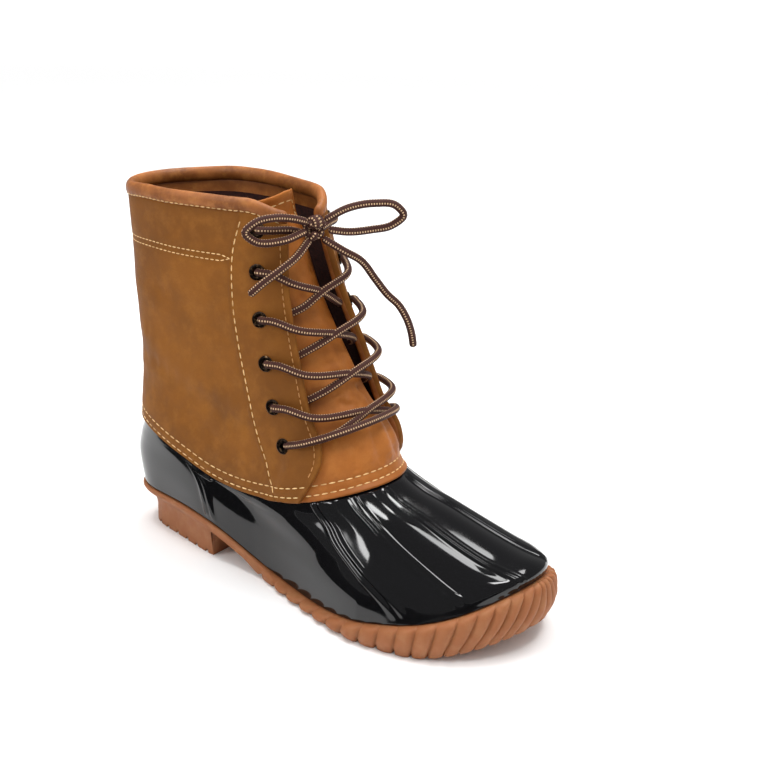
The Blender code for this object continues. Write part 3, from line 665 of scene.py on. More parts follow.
@dataclass(frozen=True)
class GumRubber(Finish):
    """Moulded gum rubber: warm matt tan, a chalky bloom, a little dirt low down, and painted shade with a
    little dirt in the grooves.
    """

    colour: str = "#955C37"
    bloom: str = "#A26F49"
    grime_and_shade: str = "#8F5A36"
    bloom_mm: float = 7.0
    grime_mm: float = 3.0
    grime_top_mm: float = 9.0
    bloomed: float = 0.5
    grimy: float = 0.45
    groove_shade_and_grime: float = 0.5
    pit_mm: float = 0.5
    pit_depth: float = 0.04

    def build(self) -> Material:
        """Build the gum rubber.

        Returns:
            The material.
        """
        mat, tree, shader = self.start()
        coords = add_node(tree, "ShaderNodeTexCoord").outputs["Object"]
        seam = add_node(tree, "ShaderNodeAttribute", attribute_name="seam").outputs["Fac"]
        bloom = patches(tree, coords, self.bloom_mm, (0.42, 0.7), 4.0, 0.6)
        colour = layered(tree, self.colour, self.bloom, bloom, self.bloomed)
        height = add_node(tree, "ShaderNodeSeparateXYZ", {0: coords}).outputs[2]
        low = add_node(tree, "ShaderNodeMapRange", {0: height, 1: 0.0, 2: self.grime_top_mm * MM,
                                                    3: self.grimy, 4: 0.0}, **SOFT).outputs[0]
        blotch = patches(tree, coords, self.grime_mm, (0.4, 0.7), 4.0, 0.65, (0.1, 1.0))
        colour = layered(tree, colour, self.grime_and_shade, blotch, low)
        # Painted shade, with a little dirt, in the grooves between the ribs, from the seam attribute.
        colour = layered(tree, colour, self.grime_and_shade, seam, self.groove_shade_and_grime)
        tree.links.new(colour, shader.inputs["Base Color"])
        self.grain(tree, shader, coords, self.pit_mm, self.pit_depth)
        return mat


@dataclass(frozen=True)
class Braid(Finish):
    """Round braided polyester cord: dark brown with rows of pale flecks where light yarns surface."""

    dark: str = "#1F0C07"
    brown: str = "#52261A"
    pale: str = "#D9B48A"
    rows: int = 4
    tick_mm: float = 1.35
    yarn_depth: float = 0.12

    def build(self) -> Material:
        """Build the braid on UV, with U in mm along the cord and V round it.

        Returns:
            The material.
        """
        mat, tree, shader = self.start()
        coords = add_node(tree, "ShaderNodeTexCoord").outputs["UV"]
        along, around = add_node(tree, "ShaderNodeSeparateXYZ", {0: coords}).outputs[:2]
        round_rate, along_rate = math.tau * self.rows, math.tau / self.tick_mm
        stripes = []
        for terms, phase, low, high in (
                ([(around, round_rate)], math.pi / 2, 0.45, 0.8),
                ([(along, along_rate)], 0.0, -0.1, 0.5),
                ([(along, 2 * along_rate), (around, 2 * round_rate)], 0.0, -1.0, 1.0)):
            inputs = {0: wave(tree, terms, phase), 1: low, 2: high}
            stripes.append(add_node(tree, "ShaderNodeMapRange", inputs, **SOFT).outputs[0])
        row, tick, yarn = stripes
        colour = layered(tree, layered(tree, self.dark, self.brown, yarn), self.pale, row, tick)
        tree.links.new(colour, shader.inputs["Base Color"])
        self.bump(tree, shader, yarn, self.yarn_depth)
        return mat


@dataclass(frozen=True)
class Woven(Finish):
    """Plain woven or felted cloth: fine crossed yarns with a fibrous break-up."""

    dark: str = "#1A0D08"
    light: str = "#3A2014"
    yarn_mm: float = 0.7
    fibre_share: float = 2.5
    depth: float = 0.12

    def build(self) -> Material:
        """Build the cloth.

        Returns:
            The material.
        """
        mat, tree, shader = self.start()
        coords = add_node(tree, "ShaderNodeTexCoord").outputs["Object"]
        split = add_node(tree, "ShaderNodeSeparateXYZ", {0: coords})
        rate = math.tau * per_metre(self.yarn_mm)
        across, up = (wave(tree, [(split.outputs[axis], rate)]) for axis in (1, 2))
        crossed = add_node(tree, "ShaderNodeMath", {0: across, 1: up}, operation="MULTIPLY").outputs[0]
        weave = add_node(tree, "ShaderNodeMapRange", {0: crossed, 1: -0.8, 2: 0.8}, **SOFT).outputs[0]
        fibres = patches(tree, coords, self.yarn_mm * self.fibre_share, (0.3, 0.7), 4.0)
        tree.links.new(layered(tree, self.dark, self.light, weave, fibres), shader.inputs["Base Color"])
        self.bump(tree, shader, weave, self.depth)
        return mat


@dataclass(frozen=True)
class Plated(Finish):
    """Antique plated brass: dark, worn to warm metal in small patches."""

    dark: str = "#2B2420"
    worn: str = "#8A6E50"
    worn_mm: float = 1.6
    dent_mm: float = 0.8
    dent_depth: float = 0.02

    def build(self) -> Material:
        """Build the metal.

        Returns:
            The material.
        """
        mat, tree, shader = self.start()
        coords = add_node(tree, "ShaderNodeTexCoord").outputs["Object"]
        worn = patches(tree, coords, self.worn_mm, (0.48, 0.72), 4.0, 0.65)
        tree.links.new(layered(tree, self.dark, self.worn, worn), shader.inputs["Base Color"])
        self.grain(tree, shader, coords, self.dent_mm, self.dent_depth)
        return mat


@dataclass(frozen=True)
class Thread(Finish):
    """Waxed polyester sewing thread: pale, twisted, slightly soiled; its twist shows only close up."""

    pale: str = "#EBC78A"
    soiled: str = "#B98F58"
    soil_mm: float = 6.0
    twist_mm: float = 0.5
    twist_depth: float = 0.08

    def build(self) -> Material:
        """Build the thread.

        Returns:
            The material.
        """
        mat, tree, shader = self.start()
        coords = add_node(tree, "ShaderNodeTexCoord").outputs["Object"]
        soil = patches(tree, coords, self.soil_mm, (0.4, 0.75))
        tree.links.new(layered(tree, self.pale, self.soiled, soil), shader.inputs["Base Color"])
        self.grain(tree, shader, coords, self.twist_mm, self.twist_depth, 2.0)
        return mat


class Slot(Enum):
    """The record's material slots."""

    GUM = "gum_rubber"
    RUBBER = "black_rubber"
    SHAFT = "tan_leather"
    PLUG = "orange_leather"
    COLLAR = "collar_leather"
    FOOTBED = "footbed"
    METAL = "eyelet_metal"
    LACE = "lace_braid"
    WEBBING = "webbing"


@dataclass
class Wardrobe:
    """Every finish of the boot, built once."""

    shaft: Leather = Leather("oiled nubuck leather", 0.66, ior=1.45, specular=0.25)
    plug: Leather = Leather("smooth oiled leather", 0.52, ior=1.45, specular=0.35, light="#B97434",
                            body="#AB6526", dark="#91521C", mottle_mm=36.0, grain_mm=0.7, grain_depth=0.07)
    collar: Leather = Leather("soft collar leather", 0.52, ior=1.45, light="#BC7A3C", body="#A8652F",
                              dark="#80491D", mottle_mm=20.0, grain_mm=0.6, grain_depth=0.08)
    lining: Woven = Woven("maroon lining cloth", 0.9, dark="#240B07", light="#4A1D13")
    thread: Thread = Thread("waxed cream thread", 0.6)
    tan_thread: Thread = Thread("waxed tan thread", 0.6, pale="#C08A4E", soiled="#9A6730")
    shell: GlossRubber = GlossRubber("gloss moulded rubber", 0.07, ior=1.52)
    gum: GumRubber = GumRubber("matt gum rubber", 0.62, specular=0.35, subsurface=0.08, subsurface_mm=2.0)
    braid: Braid = Braid("braided lace cord", 0.75)
    plated: Plated = Plated("antique plated brass", 0.38, metallic=1.0)
    footbed: Woven = Woven("felted footbed cloth", 0.95, dark="#1C130E", light="#3B2A20", yarn_mm=0.9)
    webbing: Woven = Woven("black woven tape", 0.7, dark="#060607", light="#1C1C1F", yarn_mm=1.0, depth=0.2)
    made: dict[str, Material] = field(default_factory=dict)

    def get(self, name: str) -> Material:
        """Build a finish on first use.

        Args:
            name: Its field's name.

        Returns:
            The material.
        """
        if name not in self.made:
            self.made[name] = getattr(self, name).build()
        return self.made[name]


EDGE_SHARES = np.array((0.0, 0.07, 0.29, 0.62))


def edged(low: Array, high: Array, count: int, per_unit: Array, radius: float) -> Array:
    """Positions from one edge to the other, close together where the edges are rounded.

    Args:
        low: Position of the first edge.
        high: Position of the last edge.
        count: Positions between the roundings.
        per_unit: Length of one unit of position, in mm.
        radius: Radius of the edge, in mm.

    Returns:
        The positions, along a new last axis.
    """
    given = (np.asarray(value, float)[..., None] for value in (low, high, per_unit))
    low, high, per_unit = np.broadcast_arrays(*given)
    inset = EDGE_SHARES * radius / per_unit
    reach = radius / per_unit
    middle = low + reach + (high - low - 2 * reach) * np.linspace(0.0, 1.0, count)
    return np.concatenate([low + inset, middle, (high - inset)[..., ::-1]], axis=-1)


def edge_fade(count: int) -> Array:
    """Share of the full thickness at each position that edged gives for this count."""
    rise = np.sqrt(1 - (1 - EDGE_SHARES) ** 2)
    return np.concatenate([rise, np.ones(count), rise[::-1]])


def closed_section(left: Array, right: Array, count: int) -> Array:
    """Join the rows of two sides by flats across their last and first rows.

    Args:
        left: Rows of places of one side.
        right: Rows of the other side.
        count: Rows in each flat.

    Returns:
        One loop of rows, the first repeated at its end.
    """
    share = np.linspace(0.0, 1.0, count + 2)[1:-1, None, None]
    across = left[-1] + (right[-1] - left[-1]) * share
    back = right[0] + (left[0] - right[0]) * share
    return np.concatenate([left, across, right[::-1], back, left[:1]])


def make_object(name: str, mesh: bpy.types.Mesh, replaces: Sequence[str] = ()) -> Object:
    """Link a mesh as a piece of the boot.

    Args:
        name: The piece's name.
        mesh: Its mesh, in the row's frame.
        replaces: CAD nodes that it stands for.

    Returns:
        The object.
    """
    obj = bpy.data.objects.new(name, mesh)
    bpy.context.scene.collection.objects.link(obj)
    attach(obj, BODY)
    if replaces:
        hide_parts(*replaces)
    return obj


def bmesh_object(name: str, bm: BMesh, mats: Sequence[Material],
                 replaces: Sequence[str] = ()) -> Object:
    """Finish a bmesh as a smooth piece with outward faces.

    Args:
        name: The piece's name.
        bm: The bmesh, freed here.
        mats: Materials in the order of the face indices.
        replaces: CAD nodes that it stands for.

    Returns:
        The object.
    """
    bmesh.ops.recalc_face_normals(bm, faces=bm.faces)
    mesh = bpy.data.meshes.new(name)
    bm.to_mesh(mesh)
    bm.free()
    for mat in mats:
        mesh.materials.append(mat)
    mesh.shade_smooth()
    return make_object(name, mesh, replaces)


def wall_object(name: str, faces: Sequence[Array], mats: Sequence[Material],
                seam: Array | None = None, tiles: Callable[[Array, Array], Array] | None = None,
                replaces: Sequence[str] = ()) -> Object:
    """Closed piece from one grid of places, or from an outer and an inner grid that meet at their edges.

    Args:
        name: The piece's name.
        faces: Grids of places in mm, rows by columns.
        mats: Materials, by the index that tiles gives, or one for each grid.
        seam: How dark each place of the grid is from sewing and from painted shade, from 0 to 1.
        tiles: Function of row and column indices that gives the second grid's material index.
        replaces: CAD nodes that it stands for.

    Returns:
        The object.
    """
    rows, columns = faces[0].shape[:2]
    bm = bmesh.new()
    for _ in faces:
        bmesh.ops.create_grid(bm, x_segments=columns - 1, y_segments=rows - 1, size=0.5)
    mesh = bpy.data.meshes.new(name)
    bm.to_mesh(mesh)
    bm.free()
    flat = np.empty(len(mesh.vertices) * 3)
    mesh.vertices.foreach_get("co", flat)
    flat = flat.reshape(-1, 3)
    column = np.rint((flat[:, 0] + 0.5) * (columns - 1)).astype(int)
    row = np.rint((flat[:, 1] + 0.5) * (rows - 1)).astype(int)
    grid = np.repeat(np.arange(len(faces)), rows * columns)
    places = row_metres(np.stack(faces)[grid, row, column])
    mesh.vertices.foreach_set("co", places.ravel())
    if seam is not None:
        # Sewn darkening and painted shade, read by the materials as one attribute.
        dark = mesh.attributes.new("seam", "FLOAT", "POINT")
        dark.data.foreach_set("value", np.ascontiguousarray(seam[row, column], dtype=np.float32))
    corner = np.empty(len(mesh.loops), dtype=int)
    mesh.loops.foreach_get("vertex_index", corner)
    first = corner[::4]
    index = grid[first].copy()
    if tiles is not None:
        index = np.where(grid[first] > 0, tiles(row[first], column[first]), 0)
    mesh.polygons.foreach_set("material_index", index.astype(np.int32))
    bm = bmesh.new()
    bm.from_mesh(mesh)
    bpy.data.meshes.remove(mesh)
    bmesh.ops.remove_doubles(bm, verts=bm.verts, dist=1e-6)
    bmesh.ops.dissolve_degenerate(bm, edges=bm.edges, dist=1e-7)
    return bmesh_object(name, bm, mats, replaces)


class Crease(NamedTuple):
    """A soft trough or ridge in leather, from one place to another, in degrees and levels."""

    start: Pair
    end: Pair
    width: float
    depth: float


def crease_relief(creases: Sequence[Crease], angle: Array, level: Array) -> Array:
    """Offset in mm that creases add to a surface.

    Args:
        creases: The creases, a positive depth being a ridge.
        angle: Angles of the surface's places, in radians.
        level: Their levels.

    Returns:
        The offsets.
    """
    places = LAST.point(angle, level)
    total = np.zeros(angle.shape)
    for crease in creases:
        share = np.linspace(0.0, 1.0, 9)
        line = LAST.point(np.radians(crease.start[0] + (crease.end[0] - crease.start[0]) * share),
                          crease.start[1] + (crease.end[1] - crease.start[1]) * share)
        distance = np.min(np.linalg.norm(places[..., None, :] - line, axis=-1)
                          / (1 + 0.9 * np.sin(math.pi * share)), axis=-1)
        total += peak(distance, crease.depth, crease.width)
    return total


@dataclass
class Stitching:
    """Rows of raised stitches, joined in one mesh."""

    name: str = "stitching"
    pitch: float = 4.6
    length: float = 3.6
    wide: float = 0.7
    high: float = 0.55
    bm: BMesh = field(default_factory=bmesh.new)
    count: int = 0

    def row(self, places: Array, normals: Array) -> None:
        """Sew a row of stitches along a line on the boot.

        Args:
            places: Places on the surface in mm.
            normals: Outward directions there.
        """
        steps = np.linalg.norm(np.diff(places, axis=0), axis=1)
        run = np.concatenate([[0.0], np.cumsum(steps)])
        for number in range(max(1, int(run[-1] / self.pitch))):
            ends = [self.pitch * number + shift for shift in (0.0, self.length)]
            start, end = (np.array([np.interp(at, run, places[:, k]) for k in range(3)]) for at in ends)
            middle = float(np.mean(ends))
            out = Vector([np.interp(middle, run, normals[:, k]) for k in range(3)]).normalized()
            way = Vector(end - start)
            side = out.cross(way).normalized()
            out = way.cross(side).normalized()
            turn = Matrix((way.normalized(), side, out)).transposed().to_4x4()
            size = Matrix.Diagonal((way.length / 2 * MM, self.wide / 2 * MM, self.high / 2 * MM, 1.0))
            seat = Matrix.Translation(row_metres((start + end) / 2))
            bmesh.ops.create_uvsphere(self.bm, u_segments=8, v_segments=6, radius=1.0,
                                      matrix=seat @ turn @ size)
            self.count += 1

    def follow(self, angle: Array, level: Array, offset: Array) -> None:
        """Sew along angles and levels at an offset from the last."""
        angle, level = np.broadcast_arrays(angle, level)
        self.row(LAST.off(angle, level, offset), LAST.normal(angle, level))

    def finish(self, mat: Material) -> Object:
        """Link all stitches as one piece."""
        return bmesh_object(self.name, self.bm, [mat])


@dataclass
class RubberLower:
    """Gloss rubber shell with paired ridges over the vamp and up the heel."""

    wall: float = 2.5
    underlap: float = 0.35
    columns_per_degree: float = 1.35
    level_count: int = 94
    ridge_half: float = 3.4
    ridge_high: float = 1.45
    ridge_split: float = 0.7
    heel_ridge: float = 116.0
    heel_ridge_half: float = 2.6
    seams: tuple[float, ...] = (-45.0, -27.0, -8.5, 17.0, 37.0)
    middles: tuple[float, ...] = (-58.0, -38.0, -14.5, 12.0, 36.0)
    toes: tuple[float, ...] = (-50.0, -31.0, -9.0, 15.0, 38.0)
    ends: tuple[float, ...] = (0.5, 0.9, 0.5, 0.9, 0.5)
    warp_levels: tuple[float, ...] = (0.0, 2.6, 4.0)
    plain_from: float = 64.0
    fade_top: Pair = (3.86, 4.0)
    panel_swell: float = 1.1

    def warp(self, column: Array, places: Sequence[float]) -> Array:
        """Swing the seam angles to where the ridges lie.

        Args:
            column: Seam angles in degrees.
            places: Where the ridges lie, in degrees.

        Returns:
            The angles in degrees.
        """
        knots, values = [-180.0, -self.plain_from], [-180.0, -self.plain_from]
        for seam, place in zip(self.seams, places):
            knots += [seam - self.ridge_half, seam + self.ridge_half]
            values += [place - self.ridge_half, place + self.ridge_half]
        return np.interp(column, knots + [self.plain_from, 180.0], values + [self.plain_from, 180.0])

    def profile(self, across: Array) -> Array:
        """Height of a double ridge across its width, from -1 to 1."""
        body = (1 - self.ridge_split) * np.clip(1 - across ** 2, 0, 1) ** 2
        return body + peak(np.abs(across) - 0.45, self.ridge_split, 0.2)

    def relief(self, column: Array, level: Array) -> Array:
        """Offset of the ridges and of the panels' slight swell between them.

        Args:
            column: Seam angles in degrees.
            level: Levels.

        Returns:
            Offsets in mm.
        """
        height = np.zeros(np.broadcast(column, level).shape)
        for seam, end in zip(self.seams, self.ends):
            fade = smoothstep(end - 0.4, end + 0.5, level)
            height = height + self.profile((column - seam) / self.ridge_half) * fade
        for side in (-1, 1):
            across = (column - side * self.heel_ridge) / self.heel_ridge_half
            height = height + self.profile(across) * smoothstep(0.1, 0.5, level)
        for left, right in zip(self.seams, self.seams[1:]):
            share = np.clip((column - left) / (right - left), 0.0, 1.0)
            swell = np.sin(math.pi * share) ** 2 * smoothstep(0.6, 1.6, level)
            height = height + swell * self.panel_swell / self.ridge_high
        return self.ridge_high * height * (1 - smoothstep(*self.fade_top, level))

    def build(self, wardrobe: Wardrobe) -> Object:
        """Model the shell and dress it.

        Args:
            wardrobe: The finishes.

        Returns:
            The piece.
        """
        column = np.linspace(-180.0, 180.0, int(360 * self.columns_per_degree) + 1)
        level = edged(0.0, SEAM + self.underlap, self.level_count, 20.0, self.wall / 2)[:, None]
        knots = np.stack([self.warp(column, places) for places in (self.toes, self.middles, self.seams)])
        angle = np.radians(smooth_table(self.warp_levels, knots, level[:, 0]))
        half = self.wall / 2 * edge_fade(self.level_count)[:, None]
        middle = -self.wall / 2 + self.relief(column, level) * (half > self.wall / 2 - 0.01)
        outer = LAST.off(angle, level, middle + half)
        inner = LAST.off(angle, level, np.broadcast_to(-self.wall / 2 - half, angle.shape))
        return wall_object("shell_rubber", (outer, inner), [wardrobe.get("shell")] * 2,
                           replaces=["shell"])


@dataclass
class GumSole:
    """Gum rubber bottom: heel block under a lip, thin arch, leaning convex ribs round the forefoot."""

    seat_gap: float = 0.15
    seat_edge: float = -1.0
    rand_overhang: float = 3.0
    heel_lip: float = 1.2
    lip_depth: float = 3.0
    ledge_depth: float = 9.0
    inset_back: float = 7.0
    inset_front: float = 2.6
    breast_x: float = 80.0
    waist_thick: float = 4.6
    tread_start: float = 130.0
    tread_end: float = 222.0
    toe_spring: float = 14.0
    toe_power: float = 1.8
    rib_first: float = 120.0
    rib_count: int = 19
    rib_columns: int = 14
    rib_depth: float = 2.4
    scallop: float = 1.6
    lean: float = 9.0
    lug_depth: float = 2.0
    heel_lugs: int = 6
    arch_fade: float = 26.0
    across_count: int = 9

    def columns(self) -> tuple[Array, Array, Array]:
        """Half angles from toe to heel, with the place within a rib and where a groove is cut.

        Returns:
            Angles in radians, shares of a rib's pitch (0 where there is none) and groove masks.
        """
        first = LAST.angle_at_x(self.rib_first)
        steps = self.rib_count * self.rib_columns
        ribbed = np.linspace(0.0, first, steps + 1)
        share = np.mod(np.arange(steps + 1), self.rib_columns) / self.rib_columns
        arch = [LAST.angle_at_x(x) for x in np.linspace(self.rib_first, self.breast_x + 0.4, 22)[1:]]
        heel, cuts = [LAST.angle_at_x(self.breast_x)], [0.0]
        pitch = (self.breast_x - LAST.rand.back - 13.5) / self.heel_lugs
        for lug in range(self.heel_lugs):
            front = self.breast_x - 4.0 - pitch * lug
            for behind, cut in ((0.0, 0.0), (0.5, 1.0), (2.3, 1.0), (2.8, 0.0)):
                heel.append(LAST.angle_at_x(front - behind))
                cuts.append(cut)
        tip = np.linspace(heel[-1], math.pi, 26)[1:]
        angle = np.concatenate([ribbed, arch, heel, tip])
        rib = np.concatenate([share, np.zeros(len(angle) - len(share))])
        between_ribs = (share > 0.9) | (share < 0.04)
        groove_mask = np.concatenate([between_ribs, np.zeros(len(arch)), cuts, np.zeros(len(tip))])
        groove_mask[:2] = 0.0
        return angle, rib, groove_mask.astype(float)

    def underside(self, x: Array) -> Array:
        """Height of the sole's underside along the foot.

        Args:
            x: Places along the foot in mm.

        Returns:
            Heights in mm.
        """
        touch = 1 - smoothstep(self.tread_start - self.arch_fade, self.tread_start, x)
        arch = np.maximum(LAST.rand_height(x) - self.waist_thick, 0.0) * touch
        rise = np.clip((x - self.tread_end) / (LAST.rand.front - self.tread_end), 0.0, 1.2)
        tread = self.toe_spring * rise ** self.toe_power
        return np.where(x <= self.breast_x + 0.1, 0.0, np.where(x < self.tread_start, arch, tread))

    def side(self, sign: int, angle: Array, rib: Array, cut: Array) -> tuple[Array, Array]:
        """Rows of the sole's side from the top to the floor.

        Args:
            sign: -1 outer side, 1 inner side.
            angle: Half angles.
            rib: Shares of a rib's pitch.
            cut: Groove masks.

        Returns:
            The rows of places and how deep in a groove each lies, laid on as painted shade.
        """
        near_tip = smoothstep(0.0, math.radians(9.0), angle)
        past_tip = 1 - smoothstep(math.radians(14.0), math.radians(52.0), angle)
        lean_shape = near_tip * (0.12 + 0.88 * past_tip)
        crown = np.abs(np.sin(math.pi * rib ** 0.85)) ** 0.55
        rows, dark = [], []
        for share_high in (1.0, 0.92, 0.62, 0.35, 0.0):
            shift = math.radians(self.lean) * lean_shape * (0.5 - share_high)
            turned = sign * np.clip(angle + shift, 0.0, math.pi)
            edge, out = LAST.point(turned, RAND), LAST.outward(turned)
            x = edge[:, 0]
            forefoot = smoothstep(self.rib_first - 10.0, self.rib_first + 25.0, x)
            heel = x <= self.breast_x + 0.1
            under, seat = self.underside(x), edge[:, 2] - self.seat_gap
            bulge = self.rib_depth * crown * forefoot
            lip = self.heel_lip + (self.rand_overhang - self.heel_lip) * forefoot
            forward = smoothstep(12.0, self.breast_x, x)
            inset = np.where(heel, -(self.inset_back + (self.inset_front - self.inset_back) * forward), lip)
            part_way = under + share_high * (seat - under)
            offset, z = {
                1.0: (np.full(len(x), self.seat_edge), None),
                0.92: (lip - 0.4 * forefoot + 0.8 * bulge, seat - self.scallop * (1 - crown) * forefoot),
                0.62: (lip + 1.3 * bulge, np.where(heel, seat - self.lip_depth, part_way)),
                0.35: (inset + 1.2 * bulge, np.where(heel, seat - self.ledge_depth, part_way)),
                0.0: (inset - 2.0 * forefoot + 0.7 * bulge, under + cut * self.lug_depth),
            }[share_high]
            flat = edge * (1, 1, 0) + out * offset[:, None]
            height = LAST.rand_height(flat[:, 0]) - self.seat_gap if z is None else z
            rows.append(flat + height[:, None] * (0, 0, 1))
            # Painted shade, darkest at the bottom of each groove between the ribs.
            dark.append((1 - crown) ** 3 * forefoot * (0.0 if share_high > 0.9 else 1.0))
        return np.array(rows), np.array(dark)

    def rounded(self, rows: Array) -> Array:
        """Cut the corners between rows twice, keeping the first and last row.

        Args:
            rows: Rows of places or of numbers.

        Returns:
            More rows, rounder.
        """
        for _ in range(2):
            cuts = [rows[:-1] * 0.75 + rows[1:] * 0.25, rows[:-1] * 0.25 + rows[1:] * 0.75]
            rows = np.concatenate([rows[:1], np.stack(cuts, axis=1).reshape(-1, *rows.shape[1:]), rows[-1:]])
        return rows

    def build(self, wardrobe: Wardrobe) -> Object:
        """Model the sole as one section after another from toe to heel, and dress it.

        Args:
            wardrobe: The finishes.

        Returns:
            The piece.
        """
        angle, rib, cut = self.columns()
        sides, groove_shades = {}, {}
        for sign in (-1, 1):
            rows, dark = self.side(sign, angle, rib, cut)
            sides[sign] = self.rounded(rows)
            groove_shades[sign] = self.rounded(dark)
        loop = closed_section(sides[-1], sides[1], self.across_count)
        flat = np.zeros((self.across_count, len(angle)))
        # The grooves' painted shade goes to the seam attribute; the flats between the sides get none.
        seam = np.concatenate([groove_shades[-1], flat, groove_shades[1][::-1], flat, groove_shades[-1][:1]])
        return wall_object("gum_sole", (loop,), [wardrobe.get("gum")], seam=seam,
                           replaces=["outsole"])


@dataclass
class Footbed:
    """Felt covered insole inside the shell, with a rounded rim."""

    shell_wall: float = 2.5
    play: float = 3.2
    lift: float = 0.3
    thick: float = 4.0
    angle_count: int = 70
    across_count: int = 10
    rim: tuple[Pair, ...] = ((1.5, 0.0), (0.0, 0.3), (0.0, 0.75), (0.4, 0.93), (1.4, 1.0))

    def build(self, wardrobe: Wardrobe) -> Object:
        """Model the footbed and dress it.

        Args:
            wardrobe: The finishes.

        Returns:
            The piece.
        """
        half = np.linspace(0.0, math.pi, self.angle_count)
        sides = {}
        for sign in (-1, 1):
            edge, out = LAST.point(sign * half, RAND), LAST.outward(sign * half)
            rows = []
            for inset, share in self.rim:
                place = edge - out * (self.shell_wall + self.play + inset)
                place[:, 2] = LAST.rand_height(place[:, 0]) + self.lift + self.thick * share
                rows.append(place)
            sides[sign] = np.array(rows)
        loop = closed_section(sides[-1], sides[1], self.across_count)
        return wall_object("footbed_felt", (loop,), [wardrobe.get("footbed")],
                           replaces=["insole"])


def gap_from_edge(angle: Array, level: Array) -> Array:
    """Distance in mm from the nearer facing edge, positive on the leather.

    Args:
        angle: Angles in radians.
        level: Levels.

    Returns:
        The distances.
    """
    return np.degrees(past_edge(angle, level)) * LAST.degree(angle, level)


def gap_from_lap(angle: Array, level: Array) -> Array:
    """Distance in mm behind the eyestay panel's rear edge."""
    return np.degrees(np.abs(folded(angle)) - lap(level)) * LAST.degree(angle, level)


@dataclass
class LeatherUpper:
    """Nubuck shaft: quarters, two eyestays with folded edges, dark lining, stitched seams."""

    leather: float = LEATHER
    step: float = 0.6
    rows: int = 120
    eyestay_columns: int = 26
    quarter_columns: int = 220
    edge_radius: float = 1.3
    bead_outer: float = 0.5
    bead_inner: float = 1.9
    bead_inside: float = 1.2
    bead_from: float = 1.0
    bead_wide: float = 2.8
    facing_strip: float = 9.0
    lap_blend: float = 0.4
    lap_inset: float = 1.8
    edge_inset: float = 3.4
    lining_top: float = 7.8
    hole_radius: float = 2.9
    edge_groove: float = 0.7
    creases_from: Pair = (4.35, 4.9)
    creases_to: Pair = (7.3, 7.45)
    lap_dark: float = 0.9
    edge_dark: float = 0.4
    row_dark: float = 0.55
    bottom_dark: float = 0.7
    # Painted shade along the shaft's top, under the collar roll.
    top_dark: float = 0.8
    eyestay_dark: float = 0.6
    eyestay_fade: Pair = (-22.0, -4.0)
    creases: tuple[Crease, ...] = (
        Crease((-74, 5.55), (-128, 5.95), 4.0, -0.9), Crease((-78, 5.95), (-135, 6.3), 5.0, 0.8),
        Crease((-96, 5.05), (-150, 5.35), 4.5, -0.6), Crease((-140, 5.9), (-178, 6.1), 5.0, -0.8),
        Crease((-72, 6.65), (-112, 6.9), 5.0, -0.6), Crease((-58, 5.3), (-70, 4.6), 3.0, -0.5),
        Crease((-120, 6.75), (-165, 6.9), 5.0, 0.5), Crease((-36, 6.4), (-52, 6.15), 3.0, -0.4),
        Crease((-40, 5.5), (-56, 5.15), 3.0, -0.45), Crease((-88, 4.6), (-120, 4.7), 4.0, 0.4),
        Crease((74, 5.5), (128, 5.9), 4.0, -0.9), Crease((78, 5.95), (138, 6.3), 5.0, 0.8),
        Crease((96, 5.0), (150, 5.3), 4.5, -0.6), Crease((70, 6.7), (115, 6.95), 5.0, -0.6),
        Crease((150, 6.5), (178, 6.6), 5.0, 0.5), Crease((44, 6.6), (60, 6.3), 3.5, -0.5),
    )

    def grid(self) -> tuple[Array, Array]:
        """Lay out the leather from the outer facing edge round the heel to the inner one.

        Returns:
            Angles in radians and levels.
        """
        level = edged(BOTTOM_EDGE, COLLAR, self.rows, BOTTOM_RISE, self.leather / 2)[:, None]
        outer, inner = facing(level[:, 0])
        back = lap(level[:, 0])
        per_radian = np.degrees(1.0) * LAST.degree(-outer, level[:, 0])
        blend = math.radians(self.lap_blend)
        front = edged(outer, back - blend, self.eyestay_columns, per_radian, self.edge_radius)
        share = np.linspace(0.0, 1.0, self.quarter_columns)
        quarter = (back + blend)[:, None] + (math.tau - 2 * (back + blend))[:, None] * share
        per_radian = np.degrees(1.0) * LAST.degree(inner, level[:, 0])
        rear = edged(inner, back - blend, self.eyestay_columns, per_radian, self.edge_radius)
        angle = -np.concatenate([front, quarter, math.tau - rear[:, ::-1]], axis=1)
        return angle, collar_dip(angle, np.broadcast_to(level, angle.shape))

    def sewn_rows(self, behind: Array) -> list[tuple[float, float, Array | float]]:
        """List the level rows of stitches.

        Args:
            behind: Distances behind the eyestay panel's rear edge, in mm.

        Returns:
            Each row's level, its mm per level there, and how far each place belongs to it.
        """
        band = [(level, BAND_RISE, smoothstep(0.0, 2.0, behind)) for level in BAND_LEVELS]
        return band + [(level, BOTTOM_RISE, 1.0) for level in BOTTOM_LEVELS]

    def skin(self, angle: Array, level: Array) -> Array:
        """Offset of the leather's outside, with the lap's step, folded edges, creases and sewn grooves.

        Args:
            angle: Angles in radians.
            level: Levels.

        Returns:
            Offsets in mm.
        """
        turned = folded(angle)
        behind, edge = gap_from_lap(angle, level), gap_from_edge(angle, level)
        step = self.step * (1 - smoothstep(-0.3, 0.3, behind))
        high = np.where(turned < 0, self.bead_outer, self.bead_inner)
        bead = peak(np.maximum(edge - self.bead_from, 0.0), high, self.bead_wide)
        sewn = peak(behind + self.lap_inset, GROOVE_DEPTH, GROOVE_WIDE)
        sewn = sewn + peak(edge - self.edge_inset, GROOVE_DEPTH * self.edge_groove, GROOVE_WIDE)
        for row_level, rise, active in self.sewn_rows(behind):
            sewn = sewn + active * peak((level - row_level) * rise, GROOVE_DEPTH, GROOVE_WIDE)
        fade = smoothstep(*self.creases_from, level) * (1 - smoothstep(*self.creases_to, level))
        folds = crease_relief(self.creases, angle, level) * fade
        return leather_inside(angle, level) + self.leather + step + bead - sewn + folds

    def outside(self, angle: float, level: float) -> float:
        """Offset of the leather's outside at one place."""
        return float(self.skin(np.array([angle]), np.array([level]))[0])

